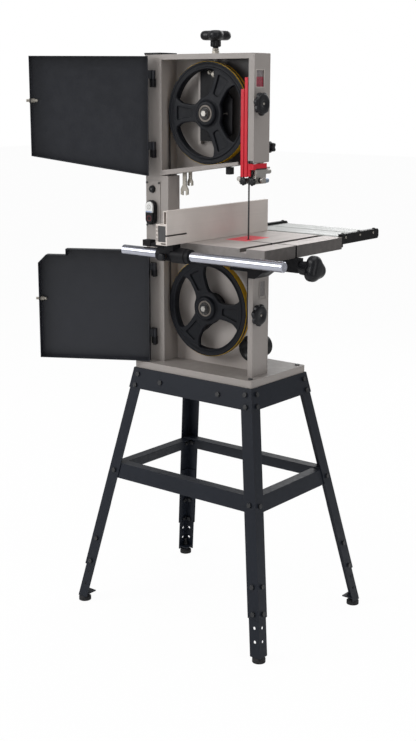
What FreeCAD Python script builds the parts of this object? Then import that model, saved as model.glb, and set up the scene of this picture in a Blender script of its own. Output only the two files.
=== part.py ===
import FreeCAD, Part
import math
import os
import Sketcher

# Band saw on a splayed stand, its two doors swung open. Millimetres, Z up, X to the right along
# the front, Y to the back. The floor is z = 0, both wheel axles cross the vertical line x = 0,
# and the wheels' mid-plane is y = 0.

Vector = FreeCAD.Vector
doc = FreeCAD.newDocument("band_saw")
sheet = doc.addObject("Spreadsheet::Sheet", "dims")
ALIASES = []
BINDINGS = []


# ---------------------------------------------------------------- sizes bound to the sheet
class Size:
    """A number together with the spreadsheet formula that gives it."""

    def __init__(self, value, formula, bound):
        self.value, self.formula, self.bound = float(value), formula, bound

    def joined(self, sign, other, value):
        formula = "(%s %s %s)" % (self.formula, sign, other.formula)
        return Size(value, formula, self.bound or other.bound)

    def __add__(self, other):
        other = as_size(other)
        return self.joined("+", other, self.value + other.value)

    def __radd__(self, other):
        return as_size(other) + self

    def __sub__(self, other):
        other = as_size(other)
        return self.joined("-", other, self.value - other.value)

    def __rsub__(self, other):
        return as_size(other) - self

    def __mul__(self, other):
        other = as_size(other)
        return self.joined("*", other, self.value * other.value)


def as_size(x):
    return x if isinstance(x, Size) else Size(x, "(%.9g)" % float(x), False)


def dimension(alias, value):
    """Adds one driving dimension to the sheet."""
    ALIASES.append(alias)
    row = len(ALIASES)
    sheet.set("A%d" % row, alias)
    sheet.set("B%d" % row, "%.6g" % value)
    sheet.setAlias("B%d" % row, alias)
    return Size(value, "dims." + alias, True)


def bind(obj, path, size):
    """Notes the formula for a property, to be set at the end, and returns its number."""
    size = as_size(size)
    if size.bound:
        BINDINGS.append((obj, path, size.formula))
    return size.value


# ---------------------------------------------------------------- document solids
TURNS = {
    "z": FreeCAD.Rotation(),
    "y": FreeCAD.Rotation(Vector(1, 0, 0), -90),
    "x": FreeCAD.Rotation(Vector(0, 1, 0), 90),
}
PLANE_ROLES = {"z": "XY_Plane", "y": "XZ_Plane", "x": "YZ_Plane"}


def place(obj, x, y, z, rotation):
    position = Vector(*[as_size(c).value for c in (x, y, z)])
    obj.Placement = FreeCAD.Placement(position, rotation)
    for name, coordinate in (("x", x), ("y", y), ("z", z)):
        bind(obj, ".Placement.Base." + name, coordinate)
    return obj


def box(x0, x1, y0, y1, z0, z1):
    obj = doc.addObject("Part::Box", "block")
    for name, low, high in (("Length", x0, x1), ("Width", y0, y1), ("Height", z0, z1)):
        setattr(obj, name, bind(obj, name, as_size(high) - low))
    return place(obj, x0, y0, z0, TURNS["z"])


def cyl(axis, x, y, z, radius, length):
    """A round bar that starts at the centre given and runs along +axis."""
    obj = doc.addObject("Part::Cylinder", "round")
    obj.Radius = bind(obj, "Radius", radius)
    obj.Height = bind(obj, "Height", length)
    return place(obj, x, y, z, TURNS[axis])


def fuse(*parts):
    obj = doc.addObject("Part::MultiFuse", "joined")
    obj.Shapes = list(parts)
    return obj


def cut(base, *tools):
    obj = doc.addObject("Part::Cut", "cut")
    obj.Base = base
    obj.Tool = tools[0] if len(tools) == 1 else fuse(*tools)
    return obj


def common(base, tool):
    obj = doc.addObject("Part::Common", "shared")
    obj.Base, obj.Tool = base, tool
    return obj


def group(*parts):
    obj = doc.addObject("Part::Compound", "set")
    obj.Links = list(parts)
    return obj


def feature(shape):
    obj = doc.addObject("Part::Feature", "shape")
    obj.Shape = shape
    return obj


# ---------------------------------------------------------------- sketched bodies
# A loop is a list of corners or ("circle", u, v, radius). Its (u, v) are (x, y) for axis z,
# (x, z) for axis y and (y, z) for axis x.
def rect(u0, u1, v0, v1, inset=0.0):
    u0, u1, v0, v1 = u0 + inset, u1 - inset, v0 + inset, v1 - inset
    return [(u0, v0), (u1, v0), (u1, v1), (u0, v1)]


def profile(body, axis, loops, at):
    """A sketch square to an axis, with every corner held by distances from the origin."""
    sketch = body.newObject("Sketcher::SketchObject", "Sketch")
    plane = [f for f in body.Origin.OriginFeatures if f.Role == PLANE_ROLES[axis]][0]
    sketch.AttachmentSupport = [(plane, "")]
    sketch.MapMode = "FlatFace"
    # the XZ plane's normal is -Y
    offset = as_size(at) * (-1 if axis == "y" else 1)
    sketch.AttachmentOffset = FreeCAD.Placement(Vector(0, 0, offset.value), FreeCAD.Rotation())
    bind(sketch, ".AttachmentOffset.Base.z", offset)

    def constrain(size, kind, *references):
        size = as_size(size)
        index = sketch.addConstraint(Sketcher.Constraint(kind, *references, size.value))
        bind(sketch, "Constraints[%d]" % index, size)

    def hold(geometry, point, u, v):
        constrain(u, "DistanceX", -1, 1, geometry, point)
        constrain(v, "DistanceY", -1, 1, geometry, point)

    for loop in loops:
        if loop[0] == "circle":
            u, v, radius = [as_size(x) for x in loop[1:]]
            circle = Part.Circle(Vector(u.value, v.value, 0), Vector(0, 0, 1), radius.value)
            geometry = sketch.addGeometry(circle, False)
            constrain(radius, "Radius", geometry)
            hold(geometry, 3, u, v)
            continue
        corners = [(as_size(u), as_size(v)) for u, v in loop]
        points = [Vector(u.value, v.value, 0) for u, v in corners]
        lines = []
        for start, end in zip(points, points[1:] + points[:1]):
            lines.append(sketch.addGeometry(Part.LineSegment(start, end), False))
        for line, following in zip(lines, lines[1:] + lines[:1]):
            sketch.addConstraint(Sketcher.Constraint("Coincident", line, 2, following, 1))
        for (u, v), line in zip(corners, lines):
            hold(line, 1, u, v)
    return sketch


def prism(axis, loops, start, end):
    """A Body: a sketched section padded from start to end along +axis."""
    body = doc.addObject("PartDesign::Body", "Body")
    sketch = profile(body, axis, loops, start)
    pad = body.newObject("PartDesign::Pad", "Pad")
    pad.Profile = sketch
    pad.Length = bind(pad, "Length", as_size(end) - start)
    pad.Reversed = axis == "y"
    body.Tip = pad
    doc.recompute()
    return body


def pocket(body, axis, loops, start, end):
    """Cuts a sketched section out of a Body between start and end along +axis."""
    before = body.Shape.Volume
    sketch = profile(body, axis, loops, start)
    tool = body.newObject("PartDesign::Pocket", "Pocket")
    tool.Profile = sketch
    tool.Type = 0
    tool.Length = bind(tool, "Length", as_size(end) - start)
    tool.Reversed = axis != "y"
    body.Tip = tool
    doc.recompute()
    if not body.Shape.Volume < before - 0.5:
        raise RuntimeError("a pocket cut nothing: %s" % body.Name)
    return body


def fillet(body, radius, pick):
    """Rounds the Body's edges that pick(edge) chooses."""
    names = ["Edge%d" % (i + 1) for i, edge in enumerate(body.Shape.Edges) if pick(edge)]
    previous = body.Tip
    rounding = body.newObject("PartDesign::Fillet", "Fillet")
    rounding.Base = (previous, names)
    rounding.Radius = bind(rounding, "Radius", radius)
    body.Tip = rounding
    doc.recompute()
    return body


def along(edge, axis):
    """True for a straight edge that runs along the axis."""
    if len(edge.Vertexes) != 2:
        return False
    step = edge.Vertexes[1].Point - edge.Vertexes[0].Point
    return all(abs(getattr(step, other)) < 1e-6 for other in "xyz" if other != axis)


# ---------------------------------------------------------------- plain shapes
def polygon_face(points):
    return Part.Face(Part.makePolygon(points + [points[0]]))


def slab(z0, z1, outline):
    """A solid with six flat faces between the four-cornered outlines outline(z0), outline(z1)."""
    points = [Vector(x, y, z) for z in (z0, z1) for x, y in outline(z)]
    quads = ((0, 3, 2, 1), (4, 5, 6, 7), (0, 1, 5, 4), (1, 2, 6, 5), (2, 3, 7, 6), (3, 0, 4, 7))
    faces = [polygon_face([points[i] for i in quad]) for quad in quads]
    solid = Part.makeSolid(Part.makeShell(faces))
    if solid.Volume < 0:
        solid.reverse()
    return solid


def loop_solid(low, low_radius, high, high_radius, y0, y1):
    """The solid inside a belt round two pulleys at (x, z) centres, between y0 and y1."""
    start, end = Vector(low[0], y0, low[1]), Vector(high[0], y0, high[1])
    span = end - start
    distance = span.Length
    direction = Vector(span.x / distance, 0, span.z / distance)
    normal = Vector(-direction.z, 0, direction.x)
    cosine = (low_radius - high_radius) / distance
    sine = math.sqrt(1 - cosine * cosine)
    # directions from either centre to its two tangent points
    near = direction * cosine + normal * sine
    far = direction * cosine - normal * sine
    quad = [
        start + near * low_radius,
        end + near * high_radius,
        end + far * high_radius,
        start + far * low_radius,
    ]
    core = polygon_face(quad).extrude(Vector(0, y1 - y0, 0))
    ends = [
        Part.makeCylinder(radius, y1 - y0, centre, Vector(0, 1, 0))
        for centre, radius in ((start, low_radius), (end, high_radius))
    ]
    return core.fuse(ends).removeSplitter()


def hexagon(centre, axis, across, length):
    """A hexagonal bar, sized across its flats: a nut or a bolt head."""
    axis = Vector(*axis)
    axis.normalize()
    radius = across / math.sqrt(3)
    angles = [math.radians(60 * i) for i in range(6)]
    points = [Vector(radius * math.cos(a), radius * math.sin(a), 0) for a in angles]
    solid = polygon_face(points).extrude(Vector(0, 0, length))
    rotation = FreeCAD.Rotation(Vector(0, 0, 1), axis)
    solid.Placement = FreeCAD.Placement(Vector(*centre), rotation)
    return solid


BOLT_RADIUS = 4.0
BOLT_ACROSS = 11.5
NUT_HEIGHT = 5.5
BOLT_TAIL = 0.5


def bolt(face, out, grip, head_height=4.5):
    """A hex bolt through plates: head on the outer face, a shank, and a nut behind the grip."""
    solid = hexagon(face, out, BOLT_ACROSS, head_height)
    length = grip + NUT_HEIGHT + BOLT_TAIL
    solid = solid.fuse(Part.makeCylinder(BOLT_RADIUS, length, face, out * -1))
    solid = solid.fuse(hexagon(face - out * (grip + NUT_HEIGHT), out, BOLT_ACROSS, NUT_HEIGHT))
    return solid.removeSplitter()


def lobed(radius, lobes, lobe_radius, thick, z0, hub):
    """A knob on Z from z0: a round core (hub is its share of the radius) ringed by fingers."""
    core = Part.makeCylinder(radius * hub + lobe_radius, thick, Vector(0, 0, z0))
    reach = radius - lobe_radius
    for i in range(lobes):
        angle = 2 * math.pi * i / lobes
        centre = Vector(reach * math.cos(angle), reach * math.sin(angle), z0)
        finger = Part.makeCylinder(lobe_radius, thick, centre)
        arm = Part.makeBox(reach, 2 * lobe_radius, thick, Vector(0, -lobe_radius, z0))
        arm.rotate(Vector(0, 0, 0), Vector(0, 0, 1), math.degrees(angle))
        core = core.fuse([finger, arm])
    return core.removeSplitter()


def round_z(radius, length, z0):
    """A cylinder on the Z axis from z0 upwards."""
    return Part.makeCylinder(radius, length, Vector(0, 0, z0))


def turned(shape, axis, at):
    """Stands a shape made along Z on another axis, at a place."""
    moved = shape.copy()
    rotation = FreeCAD.Rotation(Vector(0, 0, 1), Vector(*axis))
    moved.Placement = FreeCAD.Placement(Vector(*at), rotation)
    return moved


# ---------------------------------------------------------------- driving dimensions
wheel_radius = dimension("wheel_radius", 127.0)
wheel_width = dimension("wheel_width", 20.0)
tyre_thick = dimension("tyre_thickness", 3.0)
upper_axle_z = dimension("upper_axle_height", 1339.5)
lower_axle_z = dimension("lower_axle_height", 844.5)
base_bottom = dimension("base_bottom_height", 668.4)
base_top = dimension("base_top_height", 687.4)
front = dimension("front_plane", -30.0)
box_back = dimension("box_back_plane", 34.7)
sheet_thick = dimension("sheet_thickness", 2.2)
column_left = dimension("column_left", -187.4)
column_right = dimension("column_right", -136.4)
column_back = dimension("column_back", 35.0)
box_right = dimension("box_right", 160.5)
frame_top = dimension("frame_top_height", 1484.0)
blade_gap = dimension("blade_wheel_gap", 0.6)
blade_thick = dimension("blade_thickness", 0.6)
blade_width = dimension("blade_width", 6.8)
blade_back = dimension("blade_back_edge", -0.4)
table_left = dimension("table_left", -53.0)
table_right = dimension("table_right", 287.0)
table_front = dimension("table_front", -154.0)
table_back = dimension("table_back", 183.0)
table_top = dimension("table_top_height", 1033.0)
table_skirt = dimension("table_skirt_height", 30.0)
table_plate = dimension("table_plate_thickness", 9.5)
tilt_x = dimension("tilt_axis_across", 127.9)
rail_y = dimension("rail_depth_position", -186.0)
rail_z = dimension("rail_height", 1005.6)
rail_radius = dimension("rail_radius", 12.5)
fence_face = dimension("fence_face", 53.5)
fence_top = dimension("fence_top_height", 1116.0)
fence_front = dimension("fence_front", -231.0)
fence_back = dimension("fence_back", 182.5)
door_depth = dimension("door_depth", 21.5)
door_width = dimension("door_width", 300.5)
door_sheet = dimension("door_sheet", 1.5)
pin_x = dimension("hinge_pin_across", -150.0)
pin_y = dimension("hinge_pin_depth_position", -43.0)
stand_left = dimension("stand_top_left", -204.0)
stand_right = dimension("stand_top_right", 189.0)
stand_front = dimension("stand_top_front", -67.0)
stand_back = dimension("stand_top_back", 178.5)
splay_x = dimension("leg_splay_across", 0.188)
splay_y = dimension("leg_splay_deep", 0.18)
leg_flange = dimension("leg_flange", 35.0)
leg_sheet = dimension("leg_sheet", 2.5)
leg_bottom = dimension("leg_bottom_height", 107.0)
extension_bottom = dimension("extension_bottom_height", 13.0)
extension_top = dimension("extension_top_height", 290.0)
apron_height = dimension("apron_height", 55.0)
apron_sheet = dimension("apron_sheet", 2.0)
brace_top = dimension("brace_top_height", 404.0)
brace_height = dimension("brace_height", 41.0)
post_left = dimension("post_left", 147.0)
post_right = dimension("post_right", 163.7)
post_top = dimension("post_top_height", 940.0)
dust_x = dimension("dust_port_across", 110.0)
dust_z = dimension("dust_port_height", 745.0)
dust_radius = dimension("dust_port_radius", 29.0)
motor_x = dimension("motor_across", -75.0)
motor_z = dimension("motor_height", 764.0)
motor_radius = dimension("motor_radius", 57.0)
running = dimension("running_clearance", 0.05)
floor_slope = dimension("housing_floor_slope", 0.1465)
switch_x = dimension("switch_across", -163.5)
rod_z = dimension("extension_rod_height", 1012.0)

# ---------------------------------------------------------------- places shared by several pieces
BASE_BOLTS = [(172.0, -48.0), (172.0, 160.0), (-187.0, -48.0), (-187.0, 160.0)]  # x, y
HOUSING_TOP = 962.0  # top of the lower housing and foot of the channel
LIGHT_BUTTON_X, LIGHT_BUTTON_Z = -163.7, 1144.6
LOCK_Y = -26.0
UPPER_LOCK_Z, LOWER_LOCK_Z = 1365.0, 850.0
TENSION_Y = 24.0  # the tension screw stands on x = 0
TRACKING_X, TRACKING_Z = -14.0, 1389.5
GUIDE_LOCK_X, GUIDE_LOCK_Z = 150.0, 1259.0
AXLE_RADIUS = 10.0
TRUNNION_RADIUS = 62.0
TILT_LOCK_Y, TILT_LOCK_Z = -24.0, 980.0
FENCE_LOCK_X, FENCE_LOCK_Z = 25.0, 1003.0


# ---------------------------------------------------------------- base and column
def base_plate():
    """A shallow tray turned upside down, drilled for four bolts."""
    outline = (-201.5, 186.5, -64.2, 175.7)
    roof = base_bottom + 15.0
    body = prism("z", [rect(*outline)], base_bottom, base_top)
    body = fillet(body, 4.0, lambda e: along(e, "z"))
    body = fillet(body, 2.0, lambda e: e.BoundBox.ZMin > base_top.value - 0.1)
    body = pocket(body, "z", [rect(*outline, inset=4.0)], base_bottom, roof)
    holes = [("circle", x, y, 4.2) for x, y in BASE_BOLTS]
    return pocket(body, "z", holes, roof - 1.0, base_top + 1)


def frame_column():
    """The hollow column, with a narrower hollow channel on its right side."""
    outline = (column_left, column_right, front, column_back)
    column = prism("z", [rect(*outline), rect(*outline, inset=3)], base_top, frame_top)
    # openings behind the switch and the light button
    column = pocket(column, "y", [rect(-177.0, -150.0, 1056.0, 1112.0)], front - 1, front + 4)
    button = ("circle", LIGHT_BUTTON_X, LIGHT_BUTTON_Z, 9.6)
    column = pocket(column, "y", [button], front - 1, front + 4)
    # the channel hides the blade's return run
    outline = (column_right, -111.7, front, 16.0)
    channel = prism("z", [rect(*outline), rect(*outline, inset=1.6)], HOUSING_TOP, 1180.3)
    return fuse(column, channel)


def column_cap():
    left, right, back = column_left, column_right, column_back
    lid = box(left - 1.2, right - 0.1, front - 1.2, back + 1.2, frame_top, frame_top + 4.5)
    plug = box(left + 3.4, right - 3.4, front + 3.4, back - 3.4, frame_top - 12, frame_top)
    return fuse(lid, plug)


# ---------------------------------------------------------------- upper wheel housing
def underside(x, lift=0.0):
    """Height of the housing's sloping floor."""
    return (as_size(x) + 128.0) * floor_slope + 1182.0 + lift


def upper_wheel_box():
    left, right, back, wall = column_right, box_right, box_back, sheet_thick
    outer = [
        (left, underside(-136.4)),
        (right, underside(160.5)),
        (right, frame_top),
        (left, frame_top),
    ]
    inner = [
        (left + wall, underside(-134.2, 2.3)),
        (right - wall, underside(158.3, 2.3)),
        (right - wall, frame_top - wall),
        (left + wall, frame_top - wall),
    ]
    opening = [(-132.8, 1194.5), (143.0, 1229.0), (143.0, 1471.0), (-132.8, 1471.0)]
    body = prism("y", [outer], front, back)
    body = fillet(body, 2.0, lambda e: along(e, "y") and e.BoundBox.XMin > 150)
    body = pocket(body, "y", [inner], front + wall, back - wall)
    body = pocket(body, "y", [opening], front - 1, front + 3)
    # floor: openings at the blade's cutting run and guard, at its return run and at the wrenches
    body = pocket(body, "z", [rect(113.0, 158.3, -31.0, 30.0)], 1205.0, 1229.0)
    body = pocket(body, "z", [rect(-132.8, -121.5, -8.0, 8.0)], 1178.0, 1196.0)
    body = pocket(body, "z", [rect(-91.0, -60.0, -5.0, 16.0)], 1180.0, 1200.0)
    # right wall: window and lock screw
    body = pocket(body, "x", [rect(-24.0, 9.0, 1401.0, 1444.0)], right - 4, right + 1)
    body = pocket(body, "x", [("circle", LOCK_Y, UPPER_LOCK_Z, 3.1)], right - 2.2, right + 1)
    # roof: tension screw
    body = pocket(body, "z", [("circle", 0.0, TENSION_Y, 5.2)], frame_top - 4, frame_top + 1)
    # back: tracking screw and guide lock
    body = pocket(body, "y", [rect(-20.0, -8.0, 1371.0, 1396.0)], back - 4, back + 1)
    body = pocket(body, "y", [("circle", GUIDE_LOCK_X, GUIDE_LOCK_Z, 4.2)], back - 4, back + 1)
    inside = back - wall
    rails = [
        box(-52.0, -44.1, 20.0, inside, 1262.0, 1455.0),
        box(16.1, 24.0, 20.0, inside, 1262.0, 1455.0),
        # sleeve the guide post slides in
        cut(
            box(141.5, right - wall, 2.0, inside, 1244.0, 1284.0),
            box(143.5 - 0.08, 156.5 + 0.08, 4.0 - 0.08, 17.08, 1240.0, 1290.0),
            cyl("y", GUIDE_LOCK_X, 15.0, GUIDE_LOCK_Z, 4.2, 25.0),
        ),
    ]
    return fuse(body, *rails)


def tracking_window():
    inner = box_right - sheet_thick
    return box(inner - 1.2, inner - 0.02, -26.0, 11.0, 1399.0, 1446.0)


# ---------------------------------------------------------------- lower housing, post, dust port
def lower_housing():
    """Back plate, left wall and the lip along the wall's front edge."""
    left = column_right
    plate = prism("y", [rect(left, post_right, base_top, HOUSING_TOP)], 33.0, 36.0)
    plate = pocket(plate, "y", [("circle", dust_x, dust_z, dust_radius + 0.1)], 32.0, 37.0)
    plate = pocket(plate, "y", [("circle", motor_x, motor_z, 20.0)], 32.0, 37.0)
    wall = box(left, left + sheet_thick, front, 33.0, base_top, HOUSING_TOP)
    lip = box(left, -128.0, front, front + sheet_thick, base_top, HOUSING_TOP)
    return fuse(plate, wall, lip)


def right_post():
    outline = (post_left, post_right, front, 33.0)
    middle = (post_left.value + post_right.value) / 2
    half = (post_right.value - post_left.value) / 2

    def outer_corner(edge):
        return along(edge, "z") and abs(abs(edge.BoundBox.XMin - middle) - half) < 0.1

    body = prism("z", [rect(*outline), rect(*outline, inset=2.5)], base_top, post_top)
    body = fillet(body, 2.0, outer_corner)
    body = pocket(body, "x", [rect(-12.8, 22.8, 885.0, 929.0)], post_right - 1.0, post_right + 1)
    screw = ("circle", LOCK_Y, LOWER_LOCK_Z, 3.1)
    return pocket(body, "x", [screw], post_right - 2.2, post_right + 1)


def dust_port():
    """A tube through the back plate, with a flange on either side of the plate."""
    return cut(
        fuse(
            cyl("y", dust_x, 31.0, dust_z, dust_radius, 61.0),
            cyl("y", dust_x, 31.0, dust_z, dust_radius + 5, 2.0),
            cyl("y", dust_x, 36.0, dust_z, dust_radius + 5, 4.0),
            cyl("y", dust_x, 88.0, dust_z, dust_radius, 4.0),
        ),
        cyl("y", dust_x, 30.0, dust_z, dust_radius - 2.5, 64.0),
    )


def trunnion_cradle():
    """The table's cradle on the post, hollowed to the trunnions' radius."""
    # x, z
    outline = [
        (145.0, post_top), (166.0, post_top), (188.0, 956.0), (188.0, 967.5),
        (166.0, 988.0), (90.0, 988.0), (90.0, 956.0), (145.0, 956.0),
    ]
    body = prism("y", [outline], front + 1, 33.0)
    body = pocket(body, "y", [("circle", tilt_x, table_top, TRUNNION_RADIUS)], front, 34.0)
    body = pocket(body, "y", [rect(80.0, 200.0, 968.0, 1000.0)], front + 11, 23.0)
    return pocket(body, "z", [rect(119.0, 137.0, -9.0, 9.0)], 950.0, 975.0)


# ---------------------------------------------------------------- hinges and doors
# bottom and top height of each door's two hinges
UPPER_HINGES = [(1403.0, 1445.0), (1226.0, 1266.0)]
LOWER_HINGES = [(916.0, 952.0), (733.0, 776.0)]
KNUCKLE_RADIUS = 4.5
PIN_RADIUS = 2.5
UPPER_OPEN, LOWER_OPEN = 142.0, 150.0  # degrees

door_left = as_size(-137.5)
door_right = door_left + door_width
door_rear = front - 0.5
door_front = door_rear - door_depth
STUD_Y = -44.0


def hinge_brackets():
    """Leaves on the column with the lower half of each knuckle and the full pin."""
    brackets = []
    for z0, z1 in UPPER_HINGES + LOWER_HINGES:
        middle = (z0 + z1) / 2
        brackets.append(
            fuse(
                box(-170.5, -152.5, front - 2.5, front, z0, z1),
                box(pin_x - 4.5, pin_x, pin_y, front - 1, z0, middle),
                box(pin_x - 4.5, -152.0, pin_y + 2, front, z0, middle),
                cyl("z", pin_x, pin_y, z0, KNUCKLE_RADIUS, middle - z0),
                cyl("z", pin_x, pin_y, z0, PIN_RADIUS, z1 - z0),
            )
        )
    return group(*brackets)


def closed_door(outer, inner, hinges, stud_z):
    """A door tray as it lies closed, with its upper knuckles bored for the pins."""
    tray = prism("y", [outer], door_front, door_rear)
    tray = pocket(tray, "y", [inner], door_front + door_sheet, front + 0.5)
    stud_hole = ("circle", STUD_Y, stud_z, 3.55)
    tray = pocket(tray, "x", [stud_hole], door_right - 3, door_right + 1)
    leaves, bores = [], []
    for z0, z1 in hinges:
        middle = (z0 + z1) / 2 + 0.2
        leaves += [
            box(pin_x, door_left, pin_y - 4.5, pin_y - 0.5, middle, z1),
            cyl("z", pin_x, pin_y, middle, KNUCKLE_RADIUS, z1 - middle),
        ]
        bore = PIN_RADIUS + running
        bores.append(cyl("z", pin_x, pin_y, middle - 1, bore, z1 - middle + 2))
    return cut(fuse(tray, *leaves), *bores)


def swung(obj, angle):
    """Turns a finished shape about the hinge line, from closed to its open rest."""
    doc.recompute()
    shape = obj.Shape.copy()
    shape.rotate(Vector(pin_x.value, pin_y.value, 0), Vector(0, 0, 1), -angle)
    return feature(shape)


def upper_door():
    low_left, low_right, top = 1180.0, 1230.0, 1479.5
    left, right = door_left + door_sheet, door_right - door_sheet
    outer = [(door_left, low_left), (door_right, low_right), (door_right, top), (door_left, top)]
    inner = [
        (left, low_left + 1.8),
        (right, low_right + 1.3),
        (right, top - door_sheet),
        (left, top - door_sheet),
    ]
    return swung(closed_door(outer, inner, UPPER_HINGES, 1369.0), UPPER_OPEN)


def lower_door():
    bottom, step, top = 690.5, 970.0, 986.5
    outer = [
        (door_left, bottom),
        (door_right, bottom),
        (door_right, 948.0),
        (door_right - 22, step),
        (door_right - 76, step),
        (door_right - 76, top),
        (door_left, top),
    ]
    inner = [
        (door_left + door_sheet, bottom + door_sheet),
        (door_right - door_sheet, bottom + door_sheet),
        (door_right - door_sheet, 947.4),
        (door_right - 22.6, step - door_sheet),
        (door_right - 77.5, step - door_sheet),
        (door_right - 77.5, top - door_sheet),
        (door_left + door_sheet, top - door_sheet),
    ]
    return swung(closed_door(outer, inner, LOWER_HINGES, LOWER_LOCK_Z), LOWER_OPEN)


def door_stud(z, angle):
    """A stud through the door's free edge, held by two nuts."""
    shank = Part.makeCylinder(3.5, 28.6, Vector(145.0, STUD_Y, z), Vector(1, 0, 0))
    inner_nut = hexagon((152.5, STUD_Y, z), (1, 0, 0), 10.0, 9.0)
    outer_nut = hexagon((163.0, STUD_Y, z), (1, 0, 0), 10.0, 3.5)
    return swung(feature(shank.fuse([inner_nut, outer_nut]).removeSplitter()), angle)


def lock_knob(wall_x, z):
    """A lobed hand knob on a short stem, its axis on +X."""
    knob_x = 174.4
    knob = lobed(28.5, 7, lobe_radius=5.5, thick=12.0, z0=0.0, hub=0.66)
    knob = knob.fuse(round_z(16.0, 2.0, 12.0))
    knob = turned(knob.removeSplitter(), (1, 0, 0), (knob_x, LOCK_Y, z))
    across = Vector(1, 0, 0)
    start = Vector(wall_x + 0.1, LOCK_Y, z)
    stem = Part.makeCylinder(4.2, knob_x - wall_x - 0.1, start, across)
    screw = Part.makeCylinder(3.0, 1.9, Vector(wall_x - 1.8, LOCK_Y, z), across)
    return feature(knob.fuse([stem, screw]).removeSplitter())


# ---------------------------------------------------------------- switch, lamp and tools
START_Z, STOP_Z = 1100.5, 1067.5


def switch_plate():
    plate = prism("y", [rect(-186.0, -138.0, 1045.0, 1167.0)], front - 1.5, front)
    plate = pocket(plate, "y", [rect(-176.5, -150.5, 1057.0, 1111.0)], front - 2, front + 1)
    button = ("circle", LIGHT_BUTTON_X, LIGHT_BUTTON_Z, 9.6)
    return pocket(plate, "y", [button], front - 2, front + 1)


def long_round(radius, y0, y1):
    """The three parts of a round-ended block that spans both switch buttons."""
    return [
        cyl("y", switch_x, y0, START_Z, radius, y1 - y0),
        cyl("y", switch_x, y0, STOP_Z, radius, y1 - y0),
        box(switch_x - radius, switch_x + radius, y0, y1, STOP_Z, START_Z),
    ]


def switch_housing():
    rear = box(switch_x - 12.0, switch_x + 12.0, -31.5, -20.0, 1058.0, 1110.0)
    return cut(fuse(*long_round(15.5, -44.0, -31.5), rear), fuse(*long_round(12.6, -45.0, -35.0)))


def switch_button(centre_z, y0, z0, z1):
    """A button with one round end and one straight end, between the heights z0 and z1."""
    radius, back = 12.4, -39.0
    return fuse(
        cyl("y", switch_x, y0, centre_z, radius, back - y0),
        box(switch_x - radius, switch_x + radius, y0, back, z0, z1),
    )


def light_button():
    return fuse(
        cyl("y", LIGHT_BUTTON_X, -36.0, LIGHT_BUTTON_Z, 9.5, 14.0),
        cyl("y", LIGHT_BUTTON_X, -38.0, LIGHT_BUTTON_Z, 7.5, 2.0),
    )


def work_light():
    lamp = prism("y", [rect(58.0, 73.0, 1191.0, 1209.0)], -7.0, 7.0)
    lamp = fillet(lamp, 2.5, lambda e: along(e, "y") and e.BoundBox.ZMax < 1192)
    return pocket(lamp, "z", [("circle", 65.5, 0.0, 4.5)], 1190.0, 1193.0)


def wrench(x, y0, z0, width, shank, top):
    """An open-ended wrench hanging jaw down; shank is half the handle's width."""
    half = width / 2
    jaw = half * 0.42
    # right half from the jaw's inner corner up to the top: offset from the middle, z
    right = [
        (jaw, z0 + half * 0.95),
        (jaw, z0),
        (half, z0 + 0.2 * half),
        (half, z0 + half * 1.3),
        (shank, z0 + half * 2.2),
        (shank, top - 2.0),
        (shank * 0.6, top),
    ]
    points = right + [(-u, v) for u, v in reversed(right)]
    return prism("y", [[(x + u, v) for u, v in points]], y0, y0 + 4.5)


def wrenches():
    return group(
        wrench(-80.0, -3.5, 1131.0, width=24.0, shank=5.5, top=1198.0),
        wrench(-69.0, 6.0, 1155.0, width=17.0, shank=4.5, top=1200.0),
    )


# ---------------------------------------------------------------- wheels
UPPER_SPOKES, LOWER_SPOKES = (180.0, 60.0, -60.0), (115.0, -5.0, -125.0)  # degrees
BEARING_RADIUS = 21.0
FRONT_SEAT_BACK = -6.0
# y range of each wheel's rear bearing; it ends at the hub's back face
UPPER_REAR_SEAT, LOWER_REAR_SEAT = (0.0, 11.0), (13.0, 25.5)
# half outlines of a spoke and of the well in its front: distance from the axle, half width
SPOKE = [(20, 24), (58, 21), (88, 25), (108, 38)]
SPOKE_WELL = [(44, 12), (62, 13), (94, 18)]


def spoke_block(axle_z, degrees, half_outline, y0, depth):
    """An outline mirrored about a radial line and extruded back from y0."""
    angle = math.radians(degrees)
    radial = Vector(math.cos(angle), 0, math.sin(angle))
    across = Vector(-math.sin(angle), 0, math.cos(angle))
    outline = half_outline + [(reach, -half) for reach, half in reversed(half_outline)]
    centre = Vector(0, y0, axle_z)
    points = [centre + radial * reach + across * half for reach, half in outline]
    return polygon_face(points).extrude(Vector(0, depth, 0))


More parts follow.
